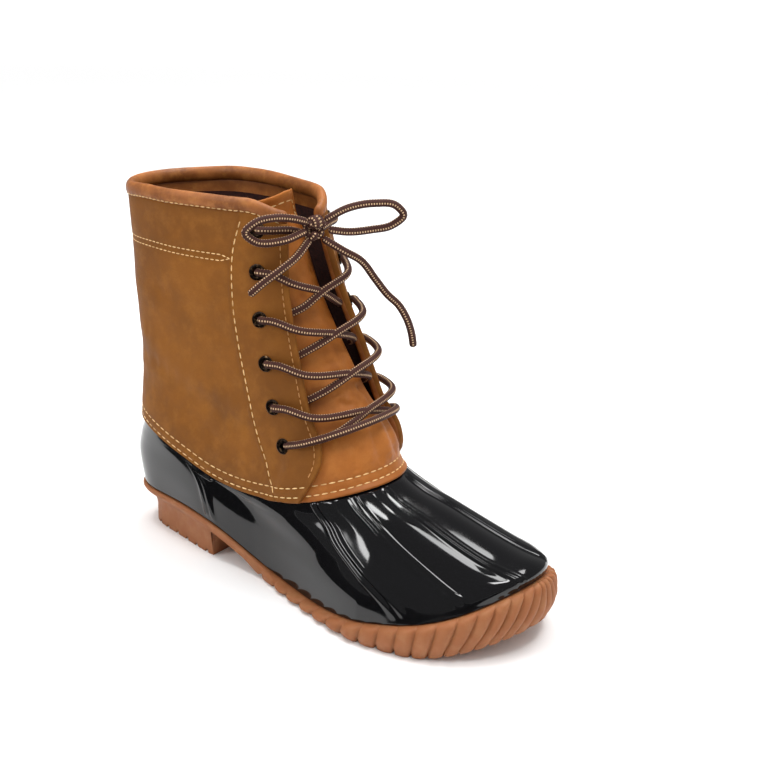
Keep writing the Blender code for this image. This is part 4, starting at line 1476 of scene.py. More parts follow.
    def dark(self, angle: Array, level: Array) -> Array:
        """How much sewing and folding darken the leather, with painted shade along the top under the collar
        roll.

        Args:
            angle: Angles in radians.
            level: Levels.

        Returns:
            Numbers from 0 to 1.
        """
        behind, edge = gap_from_lap(angle, level), gap_from_edge(angle, level)
        near = peak(np.maximum(behind, -1.0), self.lap_dark, 1.3) * (behind > -1.2)
        near = near + peak(edge - self.edge_inset, self.edge_dark, 1.2)
        eyestay = (1 - smoothstep(*self.eyestay_fade, behind)) * smoothstep(0.0, 5.0, edge)
        near = near + self.eyestay_dark * eyestay
        for row_level, rise, active in self.sewn_rows(behind):
            near = near + active * peak((level - row_level) * rise, self.row_dark, SEWN_WIDE)
        near = near + peak((level - BOTTOM_EDGE) * BOTTOM_RISE, self.bottom_dark, EDGE_WIDE)
        # Painted shade along the shaft's top, ramping up towards the collar roll above it.
        return np.clip(near + self.top_dark * smoothstep(7.86, 7.97, level), 0.0, 1.0)

    def build(self, wardrobe: Wardrobe) -> Object:
        """Model the leather with its lining and punch the eyelets' holes.

        Args:
            wardrobe: The finishes.

        Returns:
            The piece.
        """
        angle, level = self.grid()
        edge = gap_from_edge(angle, level)
        thicker = peak(np.maximum(edge - self.bead_from, 0.0), self.bead_inside, self.bead_wide)
        inside = leather_inside(angle, level) - thicker * (folded(angle) > 0)
        outer_side = self.skin(angle, level)
        fade = edge_fade(self.eyestay_columns)
        columns = np.ones(angle.shape[1])
        columns[:len(EDGE_SHARES)] = fade[:len(EDGE_SHARES)]
        columns[-len(EDGE_SHARES):] = fade[:len(EDGE_SHARES)][::-1]
        half = (outer_side - inside) / 2 * np.minimum(columns, edge_fade(self.rows)[:, None])
        middle = (outer_side + inside) / 2
        dark = self.dark(angle, level)
        strip = (level > self.lining_top) | (edge < self.facing_strip)

        def lined(row: Array, column: Array) -> Array:
            """Lining, with a leather strip inside the collar and along the facings."""
            return np.where(strip[row, column], 2, 1)

        faces = [LAST.off(angle, level, middle + shift) for shift in (half, -half)]
        obj = wall_object("leather_upper", faces,
                          [wardrobe.get(name) for name in ("shaft", "lining", "collar")],
                          seam=dark, tiles=lined, replaces=["upper"])
        self.punch(obj)
        return obj

    def punch(self, obj: Object) -> None:
        """Cut a round hole through the leather for each eyelet.

        Args:
            obj: The leather, whose mesh is replaced.
        """
        bm = bmesh.new()
        for side in (-1, 1):
            for level in EYELET_LEVELS:
                seat = eyelet_seat(side, level, self.leather / 2)
                bmesh.ops.create_cone(bm, cap_ends=True, segments=24, radius1=self.hole_radius * MM,
                                      radius2=self.hole_radius * MM, depth=9 * MM, matrix=seat)
        mesh = bpy.data.meshes.new("punches")
        bm.to_mesh(mesh)
        bm.free()
        mesh.materials.append(obj.data.materials[0])
        cutter = bpy.data.objects.new("punches", mesh)
        bpy.context.scene.collection.objects.link(cutter)
        cut = obj.modifiers.new("holes", "BOOLEAN")
        cut.operation, cut.solver, cut.object = "DIFFERENCE", "EXACT", cutter
        done = obj.evaluated_get(bpy.context.evaluated_depsgraph_get())
        punched = bpy.data.meshes.new_from_object(done)
        obj.modifiers.clear()
        obj.data = punched
        bpy.data.objects.remove(cutter)

    def sew_fine(self, fine: Stitching) -> None:
        """Sew the band of two rows round the back, which meet in a point at each lap.

        Args:
            fine: The fine stitching.
        """
        count = 200
        to_lap = np.minimum(np.arange(count), np.arange(count)[::-1])
        point = 0.5 * (BAND_LEVELS[0] - BAND_LEVELS[1]) * np.clip(1 - to_lap / 5.0, 0.0, 1.0)
        for level, bend in zip(BAND_LEVELS, (-1, 1)):
            start = lap(np.array(level)) - math.radians(0.5)
            angle = -np.linspace(start, math.tau - start, count)
            along = level + bend * point
            fine.follow(angle, along, self.skin(angle, along) + THREAD_LIFT)

    def sew_facings(self, tan: Stitching) -> None:
        """Sew the folded facing edges in thread of the leather's own colour.

        Args:
            tan: The tan stitching.
        """
        for side in (-1, 1):
            level = np.linspace(7.7, 4.45, 120)
            outer, inner = facing(level)
            angle = side * (outer if side < 0 else inner)
            angle = angle + side * np.radians(self.edge_inset / LAST.degree(angle, level))
            tan.follow(angle, level, self.skin(angle, level) + THREAD_LIFT / 2)

    def sew(self, stitching: Stitching) -> None:
        """Sew the laps and the bottom rows.

        Args:
            stitching: The coarse stitching.
        """
        for level in BOTTOM_LEVELS:
            start, end = (a + math.radians(2.0) for a in facing(np.array(level)))
            angle = -np.linspace(start, math.tau - end, 260)
            along = np.full(len(angle), level)
            stitching.follow(angle, along, self.skin(angle, along) + THREAD_LIFT)
        for side in (-1, 1):
            level = np.linspace(7.88, 4.12, 120)
            angle = side * lap(level)
            angle = angle - side * np.radians(self.lap_inset / LAST.degree(angle, level))
            stitching.follow(angle, level, self.skin(angle, level) + THREAD_LIFT)


def eyelet_angle(side: int, level: float) -> float:
    """Angle of an eyelet's centre in radians."""
    outer, inner = facing(np.array(level))
    return side * (float(outer if side < 0 else inner) + math.radians(EYELET_MARGIN))


def eyelet_seat(side: int, level: float, offset: float) -> Matrix:
    """Frame at an eyelet, with Z outward and X up the boot.

    Args:
        side: -1 outer side, 1 inner side.
        level: The eyelet's level.
        offset: Distance from the last in mm.

    Returns:
        The frame in metres.
    """
    angle = np.array(eyelet_angle(side, level))
    centre = row_metres(LAST.off(angle, np.array(level), np.array(offset)))
    out = Vector(LAST.normal(angle, np.array(level)))
    across = out.cross(Vector((0, 0, 1))).normalized()
    turn = Matrix((across.cross(out).normalized(), across, out)).transposed().to_4x4()
    return Matrix.Translation(centre) @ turn


@dataclass
class EyeletSet:
    """Twelve small plated rings set through the leather."""

    profile: tuple[Pair, ...] = (
        (2.0, -2.6), (2.5, -2.6), (2.6, -0.2), (4.0, -0.15), (4.25, 0.1), (4.2, 0.45), (3.8, 0.75),
        (3.2, 0.9), (2.6, 0.8), (2.15, 0.45), (2.0, 0.0))
    steps: int = 32

    def build(self, wardrobe: Wardrobe, upper: LeatherUpper) -> list[Object]:
        """Spin the rings and seat them on the leather.

        Args:
            wardrobe: The finishes.
            upper: The leather that they are set in.

        Returns:
            The pieces.
        """
        made = []
        for side, word in ((-1, "outer"), (1, "inner")):
            for number, level in enumerate(EYELET_LEVELS, start=1):
                bm = bmesh.new()
                corners = [bm.verts.new((radius * MM, 0, height * MM)) for radius, height in self.profile]
                edges = [bm.edges.new(pair) for pair in zip(corners, corners[1:] + corners[:1])]
                bmesh.ops.spin(bm, geom=corners + edges, cent=(0, 0, 0), axis=(0, 0, 1), angle=math.tau,
                               steps=self.steps, use_merge=True)
                skin = upper.outside(eyelet_angle(side, level), level)
                bm.transform(eyelet_seat(side, level, skin + 0.15))
                made.append(bmesh_object(f"ring_{word}_{number}", bm, [wardrobe.get("plated")],
                                         replaces=[f"eyelet_{word}_{number}"]))
        return made


class TongueRow(NamedTuple):
    """Offset of the tongue's outer face at a level, and its edges' angles in degrees."""

    level: float
    offset: float
    outer: float
    inner: float


TONGUE_ROWS = (
    TongueRow(3.95, 2.8, 61.0, 60.0),
    TongueRow(4.3, 2.8, 50.0, 50.0),
    TongueRow(4.8, 2.6, 44.0, 43.0),
    TongueRow(5.3, 1.2, 43.0, 42.0),
    TongueRow(6.0, -1.8, 44.0, 44.0),
    TongueRow(7.0, -5.0, 50.0, 30.0),
    TongueRow(8.0, -6.0, 56.0, 14.0),
    TongueRow(8.26, -6.0, 48.0, 9.0),
)


@dataclass
class PlugTongue:
    """Orange tan panel that is both the vamp's plug and the tongue, wrinkled along its length."""

    wall: float = PLUG_WALL
    rows: int = 130
    columns: int = 90
    top_shares: tuple[float, ...] = (0.0, 0.55, 0.74, 0.86, 1.0)
    top_levels: tuple[float, ...] = (8.05, 8.24, 8.27, 8.1, 7.72)
    bound_levels: float = 0.08
    inner_dip: float = 5.0
    bound_high: float = 0.7
    row_dark: float = 0.5
    top_dark: float = 0.7
    bottom_dark: float = 0.8
    wrinkle_gain: float = 1.6
    wrinkles: tuple[Crease, ...] = (
        Crease((-20, 4.5), (-16, 5.6), 2.0, -0.7), Crease((-12, 4.45), (-9, 5.9), 2.2, 0.7),
        Crease((-4, 4.5), (-3, 5.4), 1.8, -0.7), Crease((5, 4.5), (4, 5.8), 2.2, 0.6),
        Crease((13, 4.5), (10, 5.6), 2.0, -0.6), Crease((-14, 5.9), (-18, 7.2), 2.4, -0.8),
        Crease((-4, 5.7), (-9, 6.9), 2.2, 0.6), Crease((6, 6.0), (1, 7.3), 2.4, -0.7),
        Crease((-20, 6.4), (-8, 6.55), 2.6, 0.5), Crease((-16, 5.25), (12, 5.2), 3.0, 0.5),
        Crease((-12, 7.3), (-16, 8.0), 2.6, -0.5), Crease((20, 4.6), (17, 5.2), 2.0, 0.5),
    )

    def table(self, name: str, level: Array) -> Array:
        """Smooth reading of one of the tongue rows' values."""
        levels, values = zip(*((row.level, getattr(row, name)) for row in TONGUE_ROWS))
        return smooth_table(levels, values, level)

    def top_at(self, angle: Array, level: Array) -> Array:
        """Level of the peaked top edge above each place."""
        low, high = -self.table("outer", level), self.table("inner", level)
        return np.interp((np.degrees(angle) - low) / (high - low), self.top_shares, self.top_levels)

    def skin(self, angle: Array, level: Array) -> Array:
        """Offset of the panel's outer face, with its wrinkles, bound top and sewn grooves.

        Args:
            angle: Angles in radians.
            level: Levels.

        Returns:
            Offsets in mm.
        """
        fade = smoothstep(4.3, 4.6, level) * (1 - smoothstep(7.9, 8.05, level))
        wrinkle = crease_relief(self.wrinkles, angle, level) * fade
        bound = smoothstep(0.0, 0.02, level - self.top_at(angle, level) + self.bound_levels)
        sewn = sum(peak((level - at) * BOTTOM_RISE, GROOVE_DEPTH, GROOVE_WIDE) for at in BOTTOM_LEVELS)
        low, high = -self.table("outer", level), self.table("inner", level)
        across = (np.degrees(angle) - low) / (high - low)
        dip = self.inner_dip * smoothstep(0.6, 0.95, across) * smoothstep(5.3, 6.2, level)
        raised = self.wrinkle_gain * wrinkle + self.bound_high * bound
        return self.table("offset", level) + raised - sewn - dip - settled(level)

    def build(self, wardrobe: Wardrobe) -> Object:
        """Model the panel and dress it.

        Args:
            wardrobe: The finishes.

        Returns:
            The piece.
        """
        across = edged(0.0, 1.0, self.columns, 45.0, self.wall / 2)
        top = np.interp(across, self.top_shares, self.top_levels)
        level = edged(np.full(len(top), TONGUE_ROWS[0].level), top, self.rows, 30.0, self.wall / 2).T
        low, high = -np.radians(self.table("outer", level)), np.radians(self.table("inner", level))
        angle = low + (high - low) * across
        fade = np.minimum(edge_fade(self.columns), edge_fade(self.rows)[:, None])
        middle = self.skin(angle, level) - self.wall / 2
        outer = LAST.off(angle, level, middle + self.wall / 2 * fade)
        inner = LAST.off(angle, level, middle - self.wall / 2 * fade)
        dark = sum(peak((level - at) * BOTTOM_RISE, self.row_dark, SEWN_WIDE) for at in BOTTOM_LEVELS)
        below = self.top_at(angle, level) - level - self.bound_levels
        dark = dark + peak(below * BAND_RISE, self.top_dark, 0.8)
        # Painted shade on the tongue's inner half up the throat, where the inner facing stands over it.
        dark = dark + smoothstep(5.2, 6.4, level) * smoothstep(0.5, 0.85, across)
        dark = dark + peak((level - BOTTOM_EDGE) * BOTTOM_RISE, self.bottom_dark, EDGE_WIDE)
        dark = np.clip(dark, 0.0, 1.0)
        return wall_object("plug_tongue", (outer, inner),
                           [wardrobe.get("plug"), wardrobe.get("lining")], seam=dark, replaces=["tongue"])

    def sew(self, stitching: Stitching) -> None:
        """Sew the two bottom rows across the plug and the row below the bound top.

        Args:
            stitching: The coarse stitching.
        """
        for level in BOTTOM_LEVELS:
            outer, inner = facing(np.array(level))
            angle = np.linspace(-outer, inner, 120)
            along = np.full(len(angle), level)
            stitching.follow(angle, along, self.skin(angle, along) + THREAD_LIFT)
        share = np.linspace(0.06, 0.9, 60)
        level = np.interp(share, self.top_shares, self.top_levels) - self.bound_levels * 1.5
        low, high = -np.radians(self.table("outer", level)), np.radians(self.table("inner", level))
        angle = low + (high - low) * share
        stitching.follow(angle, level, self.skin(angle, level) + THREAD_LIFT)


@dataclass
class CollarRoll:
    """Padded leather roll bound over the top of the shaft."""

    wide: float = 5.4
    high: float = 8.0
    shift: float = 0.6
    drop: float = 1.2
    sides: int = 28
    end_shares: tuple[float, ...] = (0.0, 0.0015, 0.005, 0.011)
    pucker_pitch: float = 4.6
    sewn_turn: float = -0.75
    tuck_turn: float = -1.35
    pucker: float = 0.18
    fill: float = 0.85

    def section(self, turn: Array, grown: float = 0.0) -> Array:
        """Places of the roll at angles round its section.

        Args:
            turn: Angles round the section, one row of places each.
            grown: How far outside the surface, in mm.

        Returns:
            Places, turn by turn.
        """
        angle, level = (part[-1] for part in LeatherUpper().grid())
        ends = np.array(self.end_shares)
        share = np.concatenate([ends, np.linspace(0.02, 0.98, 240), 1 - ends[::-1]])
        at = np.linspace(0.0, 1.0, len(angle))
        angle, level = np.interp(share, at, angle), np.interp(share, at, level)
        centre = LAST.off(angle, level, np.full(len(angle), LEATHER_LIFT + LEATHER / 2 - self.shift))
        centre[:, 2] += self.high / 2 - self.drop
        out = LAST.normal(angle, level) * (1, 1, 0)
        out = out / np.linalg.norm(out, axis=-1, keepdims=True)
        end = np.minimum(share, 1 - share) / 0.02
        size = np.sqrt(1 - (1 - np.clip(end, 0, 1)) ** 2)
        run = np.concatenate([[0.0], np.cumsum(np.linalg.norm(np.diff(centre, axis=0), axis=1))])
        pucker = self.pucker * np.cos(math.tau * run / self.pucker_pitch)
        turn = np.asarray(turn)[:, None]
        low = np.clip(-np.sin(turn), 0, 1) * np.clip(np.cos(turn), 0, 1)
        grow = grown + pucker * low * 2
        across = np.cos(turn) * (self.wide / 2 + grow) * size
        up = np.sin(turn) * (self.high / 2 + grow) * size
        return centre + out * across[..., None] + np.array((0, 0, 1.0)) * up[..., None]

    def build(self, wardrobe: Wardrobe) -> Object:
        """Model the roll and dress it.

        Args:
            wardrobe: The finishes.

        Returns:
            The piece.
        """
        turn = np.linspace(0.0, math.tau, self.sides + 1)
        places = self.section(turn)
        past = turn - math.tau
        # Darker along the stitch row, and painted shade along the underside where the roll tucks against the
        # shaft.
        sewn = peak(past - self.sewn_turn, 0.6, 0.14) + peak(past - self.tuck_turn, 0.9, 0.3)
        dark = np.broadcast_to(sewn[:, None], places.shape[:2])
        obj = wall_object("collar_roll", (places,), [wardrobe.get("collar")], seam=dark,
                          replaces=["collar_binding"])
        return obj

    def sew(self, stitching: Stitching) -> None:
        """Sew the row along the roll's lower half.

        Args:
            stitching: The fine stitching.
        """
        turn = np.array((self.sewn_turn,))
        place, outside = (self.section(turn, grown)[0][6:-6] for grown in (THREAD_LIFT, 2.0))
        normal = outside - place
        stitching.row(place, normal)


def smooth_route(route: Sequence, spacing: float = 1.2) -> Array:
    """Fit a smooth curve through a route's own points.

    Args:
        route: The points.
        spacing: Distance between the places given back.

    Returns:
        Evenly spaced places.
    """
    route = np.asarray(route, float)
    knots = np.concatenate([[0.0], np.cumsum(np.linalg.norm(np.diff(route, axis=0), axis=1))])
    return smooth_table(knots, route, np.linspace(0.0, knots[-1], max(8, int(knots[-1] / spacing))))


@dataclass
class Lacing:
    """Round braided lace: crossings through the eyelets, lowest bar, knot, loops and ends."""

    radius: float = 2.05
    clear: float = 0.8
    sides: int = 16

    def tube(self, bm: BMesh, route: Array) -> None:
        """Add a closed tube with rounded ends and its UV map in mm along and turns round.

        Args:
            bm: Where to add it.
            route: Places along its middle, in mm.
        """
        path = [Vector(p) for p in route]
        steps = np.concatenate([[0.0], np.cumsum([(b - a).length for a, b in zip(path, path[1:])])])
        frames, side = [], None
        for i, place in enumerate(path):
            way = (path[min(i + 1, len(path) - 1)] - path[max(i - 1, 0)]).normalized()
            side = way.cross(Vector((0, 0, 1))) if side is None else side - way * side.dot(way)
            side.normalize()
            frames.append((place, way, side.copy(), side.cross(way)))
        ends = np.minimum(steps, steps[-1] - steps)
        size = self.radius * np.sqrt(1 - (1 - np.clip(ends / self.radius, 0, 1)) ** 2)
        uv = bm.loops.layers.uv.verify()
        before = set(bm.faces)
        made = bmesh.ops.create_grid(bm, x_segments=len(path) - 1, y_segments=self.sides, size=0.5)
        spots = {}
        for vert in made["verts"]:
            i = round((vert.co.x + 0.5) * (len(path) - 1))
            k = round((vert.co.y + 0.5) * self.sides)
            spots[vert] = (i, k)
            place, _, across, lift = frames[i]
            turn = math.tau * k / self.sides
            spot = place + (across * math.cos(turn) + lift * math.sin(turn)) * float(size[i])
            vert.co = row_metres(spot)
        for face in bm.faces:
            if face in before:
                continue
            for loop in face.loops:
                i, k = spots[loop.vert]
                loop[uv].uv = (float(steps[i]), k / self.sides)
        bmesh.ops.remove_doubles(bm, verts=made["verts"], dist=2e-6)

    def piece(self, name: str, routes: Sequence[Array], wardrobe: Wardrobe,
              replaces: Sequence[str] = ()) -> Object:
        """Build one piece from several stretches of lace.

        Args:
            name: The piece's name.
            routes: Places along each stretch.
            wardrobe: The finishes.
            replaces: CAD nodes that it stands for.

        Returns:
            The piece.
        """
        bm = bmesh.new()
        for route in routes:
            self.tube(bm, route)
        return bmesh_object(name, bm, [wardrobe.get("braid")], replaces)

    def strand(self, upper: LeatherUpper, side: int, start: float, end: float, bulge: float) -> Array:
        """One strand, out of an eyelet, over the facing's edge and under the other facing to the next eyelet.

        Args:
            upper: The leather that it lies on.
            side: Side of its upper eyelet.
            start: Level of that eyelet.
            end: Level of the eyelet where it ends.
            bulge: Extra height over the edge in mm.

        Returns:
            Places along it.
        """
        outer, inner = (float(a) for a in facing(np.array(start)))
        outer_end, inner_end = (float(a) for a in facing(np.array(end)))
        near, far = (outer, inner_end) if side < 0 else (inner, outer_end)
        middle = (inner + inner_end - outer - outer_end) / 4
        skin = upper.outside(side * (near + 0.1), start)
        tongue_top = float(PlugTongue().table("offset", np.array(end)))
        over = skin + self.radius + self.clear
        low = tongue_top + self.radius + self.clear
        under = float(leather_inside(np.array(-side * far), np.array(end))) - self.radius * 0.9
        hole, stop = near + math.radians(EYELET_MARGIN), far + math.radians(EYELET_MARGIN)
        stops = (
            (side * hole, start, skin - 1.5),
            (side * (hole - 0.025), start, skin + 1.6),
            (side * (near + math.radians(EYELET_MARGIN - 8)), start - 0.01, over + 0.2),
            (side * near, start - 0.25 * (start - end), over + bulge),
            (middle, (start + end) / 2, max(low, over - 2.5) + bulge * 0.2),
            (-side * (far - math.radians(7.0)), end + 0.1, max(low, 1.0)),
            (-side * (far + math.radians(5.0)), end + 0.04, under),
            (-side * (stop - 0.03), end, under),
            (-side * stop, end, under + 2.0),
        )
        return smooth_route([LAST.off(np.array(a), np.array(l), np.array(o)) for a, l, o in stops])

    def bar(self, upper: LeatherUpper) -> Array:
        """Lead the lowest stretch straight across from eyelet to eyelet and into both holes.

        Args:
            upper: The leather that it lies on.

        Returns:
            Places along it.
        """
        level = EYELET_LEVELS[-1]
        outer, inner = (float(a) for a in facing(np.array(level)))
        reach = math.radians(EYELET_MARGIN)
        share = np.linspace(0.0, 1.0, 9)
        angle = -(outer + reach) + (outer + inner + 2 * reach) * share
        arch = np.sin(math.pi * share)
        lift = upper.outside(-outer - 0.1, level) + self.radius + 0.1 + 2.0 * arch
        lift[[0, -1]] -= 4.2
        return smooth_route(LAST.off(angle, level + 0.12 * arch, lift))

    def tie(self, upper: LeatherUpper, side: int, end: Place) -> Array:
        """Lead a stretch out of a top eyelet to the knot.

        Args:
            upper: The leather that it lies on.
            side: -1 outer side, 1 inner side.
            end: Where it ends, in mm.

        Returns:
            Places along it.
        """
        level = EYELET_LEVELS[0]
        outer, inner = facing(np.array(level))
        edge = float(outer if side < 0 else inner)
        skin = upper.outside(side * (edge + 0.1), level)
        degrees = (EYELET_MARGIN, EYELET_MARGIN - 2.0, EYELET_MARGIN - 10.0, 0.0)
        lifts = (-1.5, 1.5, self.radius + self.clear, self.radius + self.clear)
        route = [LAST.off(np.array(side * (edge + math.radians(d))), np.array(level), np.array(skin + lift))
                 for d, lift in zip(degrees, lifts)]
        return smooth_route([*route, np.array(end)])

    def knot(self) -> list[Array]:
        """Wrap the bow's knot: two turns about its middle and one stretch across the front.

        Returns:
            Places along each wrap.
        """
        routes = []
        centre = np.array(KNOT)
        for shift, tilt in ((-2.2, 0.25), (1.9, 0.1)):
            turn = np.linspace(0.0, math.tau * 0.97, 30)
            height = np.sin(turn) * 4.4
            routes.append(centre + np.stack([np.cos(turn) * 3.0, shift + tilt * height, height], axis=1))
        front = np.array(((-1.5, -4.8, 3.2), (0.5, 0.0, 0.5), (-1.0, 4.2, -3.4)))
        return [*routes, smooth_route(centre + front)]

    def build_cords(self, wardrobe: Wardrobe) -> list[Object]:
        """Args:
            wardrobe: The finishes.

        Returns:
            The pieces.
        """
        knot = self.piece("laced_knot", self.knot(), wardrobe, ["lace_knot"])
        made = [knot]
        free = (("lace_loop_left", LOOP_LEFT, "knot"), ("lace_loop_right", LOOP_RIGHT, "knot"),
                ("lace_end_left", END_LEFT, "bare"), ("lace_end_right", END_RIGHT, "bare"))
        for name, route, far_end in free:
            places = smooth_route(route)
            obj = self.piece("free_" + name, [places], wardrobe, [name])
            made.append(obj)
        return made

    def build(self, wardrobe: Wardrobe, upper: LeatherUpper) -> list[Object]:
        """Build the seated stretches of the lace.

        Args:
            wardrobe: The finishes.
            upper: The leather that they lie on.

        Returns:
            The pieces.
        """
        made = []
        for number, (start, end) in enumerate(zip(EYELET_LEVELS[1:], EYELET_LEVELS[2:]), start=1):
            routes = [self.strand(upper, 1, start, end, 4.0), self.strand(upper, -1, start, end, 0.5)]
            made.append(self.piece(f"laced_crossing_{number}", routes, wardrobe, [f"lace_crossing_{number}"]))
        made.append(self.piece("laced_bar", [self.bar(upper)], wardrobe, ["lace_bar"]))
        for side, word, end in ((-1, "outer", TIE_OUTER_END), (1, "inner", TIE_INNER_END)):
            route = self.tie(upper, side, end)
            made.append(self.piece(f"laced_tie_{word}", [route], wardrobe, [f"lace_tie_{word}"]))
        return made


@dataclass
class PullTab:
    """Black woven strap bowed out at the back of the collar."""

    wide: float = 12.0
    thick: float = 1.6
    low: float = 7.62
    bow: float = 2.5
    hug: float = 1.1
    count: int = 30

    def build(self, wardrobe: Wardrobe) -> Object:
        """Model the strap and dress it.

        Args:
            wardrobe: The finishes.

        Returns:
            The piece.
        """
        share = edged(0.0, 1.0, self.count, 18.0, self.thick / 2)
        level = self.low + (COLLAR - self.low) * share
        base = LAST.off(np.full(len(level), math.pi), level, np.full(len(level), GAP * 2 + LEATHER))
        across = edged(-self.wide / 2, self.wide / 2, self.count, 1.0, self.thick / 2)
        fade = np.minimum(edge_fade(self.count)[:, None], edge_fade(self.count))
        out = (self.bow * np.sin(math.pi * share) + self.hug + self.thick / 2)[:, None]
        faces = []
        for sign in (1, -1):
            deep = out + sign * self.thick / 2 * fade
            places = np.broadcast_to(base[:, None, :], (*fade.shape, 3)).copy()
            places[..., 0] -= deep
            places[..., 1] += across
            faces.append(places)
        return wall_object("strap", faces, [wardrobe.get("webbing")] * 2, replaces=["pull_tab"])


class Window(NamedTuple):
    """Rectangular light that faces the boot: its place and size in metres, and its power in watts."""

    name: str
    place: Place
    size: Pair
    watts: float
    mirrored: bool = True


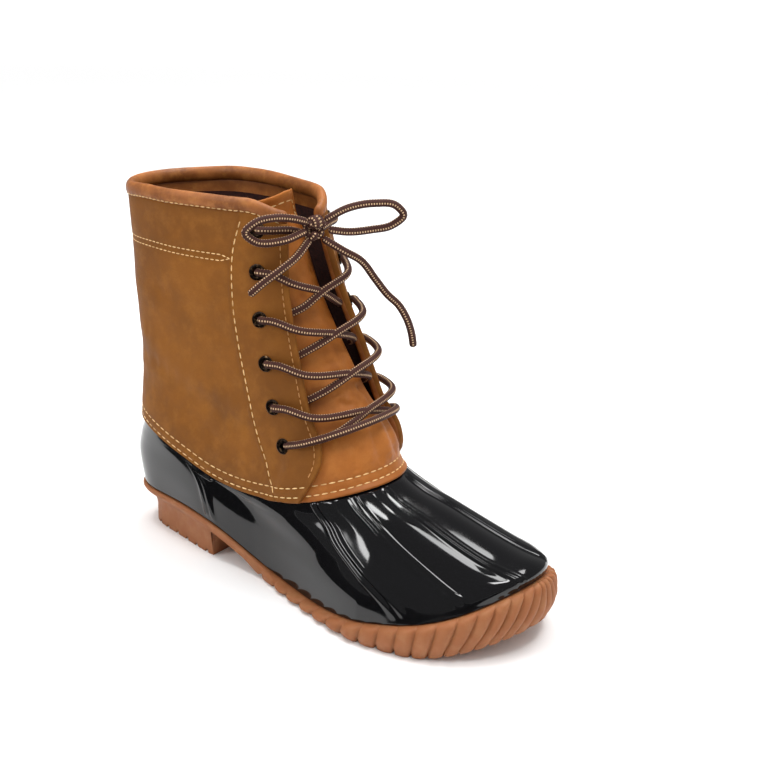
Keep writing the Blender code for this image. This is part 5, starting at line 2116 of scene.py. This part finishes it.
@dataclass
class Studio:
    """Pale floor, soft daylight from above, small windows that the gloss mirrors, and the photo's camera."""

    azimuth: float = 35.2
    elevation: float = 20.1
    roll: float = 2.1
    distance: float = 709.2
    lens: float = 61.27
    target: Place = (154.6, 25.8, 106.6)
    floor_colour: str = "#FAFAFA"
    floor_glow: float = 0.4
    glow_from: float = 1.3
    glow_to: float = 4.0
    sky_strength: float = 0.24
    aim: Place = (0.0, 0.0, 0.08)
    windows: tuple[Window, ...] = (
        Window("ceiling", (0.0, 0.3, 3.5), (17.0, 17.0), 600.0, mirrored=False),
        Window("front window", (-0.7, -1.5, 1.25), (0.45, 0.35), 7.0),
        Window("side window", (-1.0, -1.5, 0.8), (0.25, 0.25), 1.2),
        Window("rear window", (-0.4, 0.6, 1.5), (0.4, 0.3), 6.0),
        Window("top window", (-0.4, -0.2, 1.5), (0.5, 0.22), 6.0),
        Window("toe window", (0.6, -0.15, 1.45), (0.45, 0.22), 5.0),
        Window("far window", (0.4, 0.45, 1.8), (0.7, 0.5), 11.0),
    )

    def camera(self) -> None:
        """Place the camera at the photo's angle, rolled as in the photo."""
        az, el, roll = (math.radians(a) for a in (self.azimuth, self.elevation, self.roll))
        back = Vector((math.sin(az) * math.cos(el), -math.cos(az) * math.cos(el), math.sin(el)))
        right = Vector((math.cos(az), math.sin(az), 0.0))
        up = back.cross(right)
        across = right * math.cos(roll) + up * math.sin(roll)
        above = up * math.cos(roll) - right * math.sin(roll)
        data = bpy.data.cameras.new("photo view")
        data.lens, data.sensor_width = self.lens, 36.0
        data.clip_start, data.clip_end = 0.01, 50.0
        obj = bpy.data.objects.new("photo view", data)
        place = Vector(row_metres(self.target)) + back * self.distance * MM
        turn = Matrix((across, above, back)).transposed().to_4x4()
        obj.matrix_world = Matrix.Translation(place) @ turn
        bpy.context.scene.collection.objects.link(obj)
        bpy.context.scene.camera = obj

    def sheet(self, name: str, mat: Material, centre: Place, size: Pair) -> Object:
        """Lay a flat sheet on the ground.

        Args:
            name: Its name.
            mat: Its material.
            centre: Its middle, in metres.
            size: Its length and width in metres.

        Returns:
            The sheet.
        """
        bm = bmesh.new()
        place = Matrix.Translation(centre) @ Matrix.Diagonal((*size, 1.0, 1.0))
        bmesh.ops.create_grid(bm, x_segments=1, y_segments=1, size=0.5, matrix=place)
        mesh = bpy.data.meshes.new(name)
        bm.to_mesh(mesh)
        bm.free()
        mesh.materials.append(mat)
        obj = bpy.data.objects.new(name, mesh)
        bpy.context.scene.collection.objects.link(obj)
        return obj

    def floor(self) -> None:
        """Large pale floor, whose far part glows a little to stay as pale as the near part."""
        mat, tree, shader = Finish("pale matt paper", 0.8, ior=1.3).start()
        for socket in ("Base Color", "Emission Color"):
            shader.inputs[socket].default_value = linear(self.floor_colour)
        place = add_node(tree, "ShaderNodeTexCoord").outputs["Object"]
        away = add_node(tree, "ShaderNodeVectorMath", {0: place}, operation="LENGTH").outputs["Value"]
        glow = add_node(tree, "ShaderNodeMapRange", {0: away, 1: self.glow_from, 2: self.glow_to, 3: 0.0,
                                                     4: self.floor_glow}, **SOFT).outputs[0]
        tree.links.new(glow, shader.inputs["Emission Strength"])
        self.sheet("floor", mat, (0.0, 0.0, 0.0), (12.0, 12.0))

    def flag(self) -> None:
        """Black card on the floor beside the boot, seen only as the dark that the gloss rubber mirrors."""
        mat, _, shader = Finish("black matt card", 0.95).start()
        shader.inputs["Base Color"].default_value = (0.01, 0.01, 0.01, 1.0)
        obj = self.sheet("flag", mat, (-0.3, -1.61, 0.004), (3.4, 3.06))
        obj.visible_camera = obj.visible_diffuse = obj.visible_shadow = False

    def light(self, window: Window) -> None:
        """Hang a light.

        Args:
            window: The light.
        """
        data = bpy.data.lights.new(window.name, "AREA")
        data.shape, data.energy = "RECTANGLE", window.watts
        data.size, data.size_y = window.size
        obj = bpy.data.objects.new(window.name, data)
        obj.location = window.place
        obj.visible_glossy = window.mirrored
        towards = Vector(self.aim) - Vector(window.place)
        obj.rotation_euler = towards.to_track_quat("-Z", "Y").to_euler()
        bpy.context.scene.collection.objects.link(obj)

    def build(self) -> None:
        """Set up the floor, the dark card, the sky and the lights."""
        self.floor()
        self.flag()
        world = bpy.data.worlds.new("soft room")
        bpy.context.scene.world = world
        world.use_nodes = True
        tree = world.node_tree
        seen = add_node(tree, "ShaderNodeLightPath").outputs["Is Camera Ray"]
        inputs = {0: seen, 1: 1.0 - self.sky_strength, 2: self.sky_strength}
        strength = add_node(tree, "ShaderNodeMath", inputs, operation="MULTIPLY_ADD").outputs[0]
        tree.nodes["Background"].inputs[0].default_value = (1.0, 1.0, 1.0, 1.0)
        tree.links.new(strength, tree.nodes["Background"].inputs[1])
        bpy.context.scene.view_settings.view_transform = "Standard"
        for window in self.windows:
            self.light(window)


def main() -> None:
    """Build every piece in order and report it."""
    logging.basicConfig(level=logging.INFO, format="%(name)s %(message)s")
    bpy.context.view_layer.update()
    wardrobe, upper, tongue, collar, lacing = Wardrobe(), LeatherUpper(), PlugTongue(), CollarRoll(), Lacing()
    studio = Studio()
    studio.camera()
    made = lacing.build_cords(wardrobe)
    made.append(GumSole().build(wardrobe))
    made.append(RubberLower().build(wardrobe))
    made.append(Footbed().build(wardrobe))
    made.append(upper.build(wardrobe))
    made.append(tongue.build(wardrobe))
    made.append(collar.build(wardrobe))
    made.append(PullTab().build(wardrobe))
    made += EyeletSet().build(wardrobe, upper)
    made += lacing.build(wardrobe, upper)
    stitching = Stitching()
    fine = Stitching("fine_stitching", pitch=3.2, length=2.5, wide=0.6, high=0.5)
    tan = Stitching("tan_stitching", pitch=3.6, length=2.8, wide=0.6, high=0.45)
    upper.sew(stitching)
    upper.sew_fine(fine)
    upper.sew_facings(tan)
    tongue.sew(stitching)
    collar.sew(fine)
    made.append(stitching.finish(wardrobe.get("thread")))
    made.append(fine.finish(wardrobe.get("thread")))
    made.append(tan.finish(wardrobe.get("tan_thread")))
    studio.build()
    for obj in made:
        LOG.info("%s: %d faces", obj.name, len(obj.data.polygons))
    LOG.info("%d stitches", stitching.count + fine.count + tan.count)


if __name__ == "__main__":
    main()
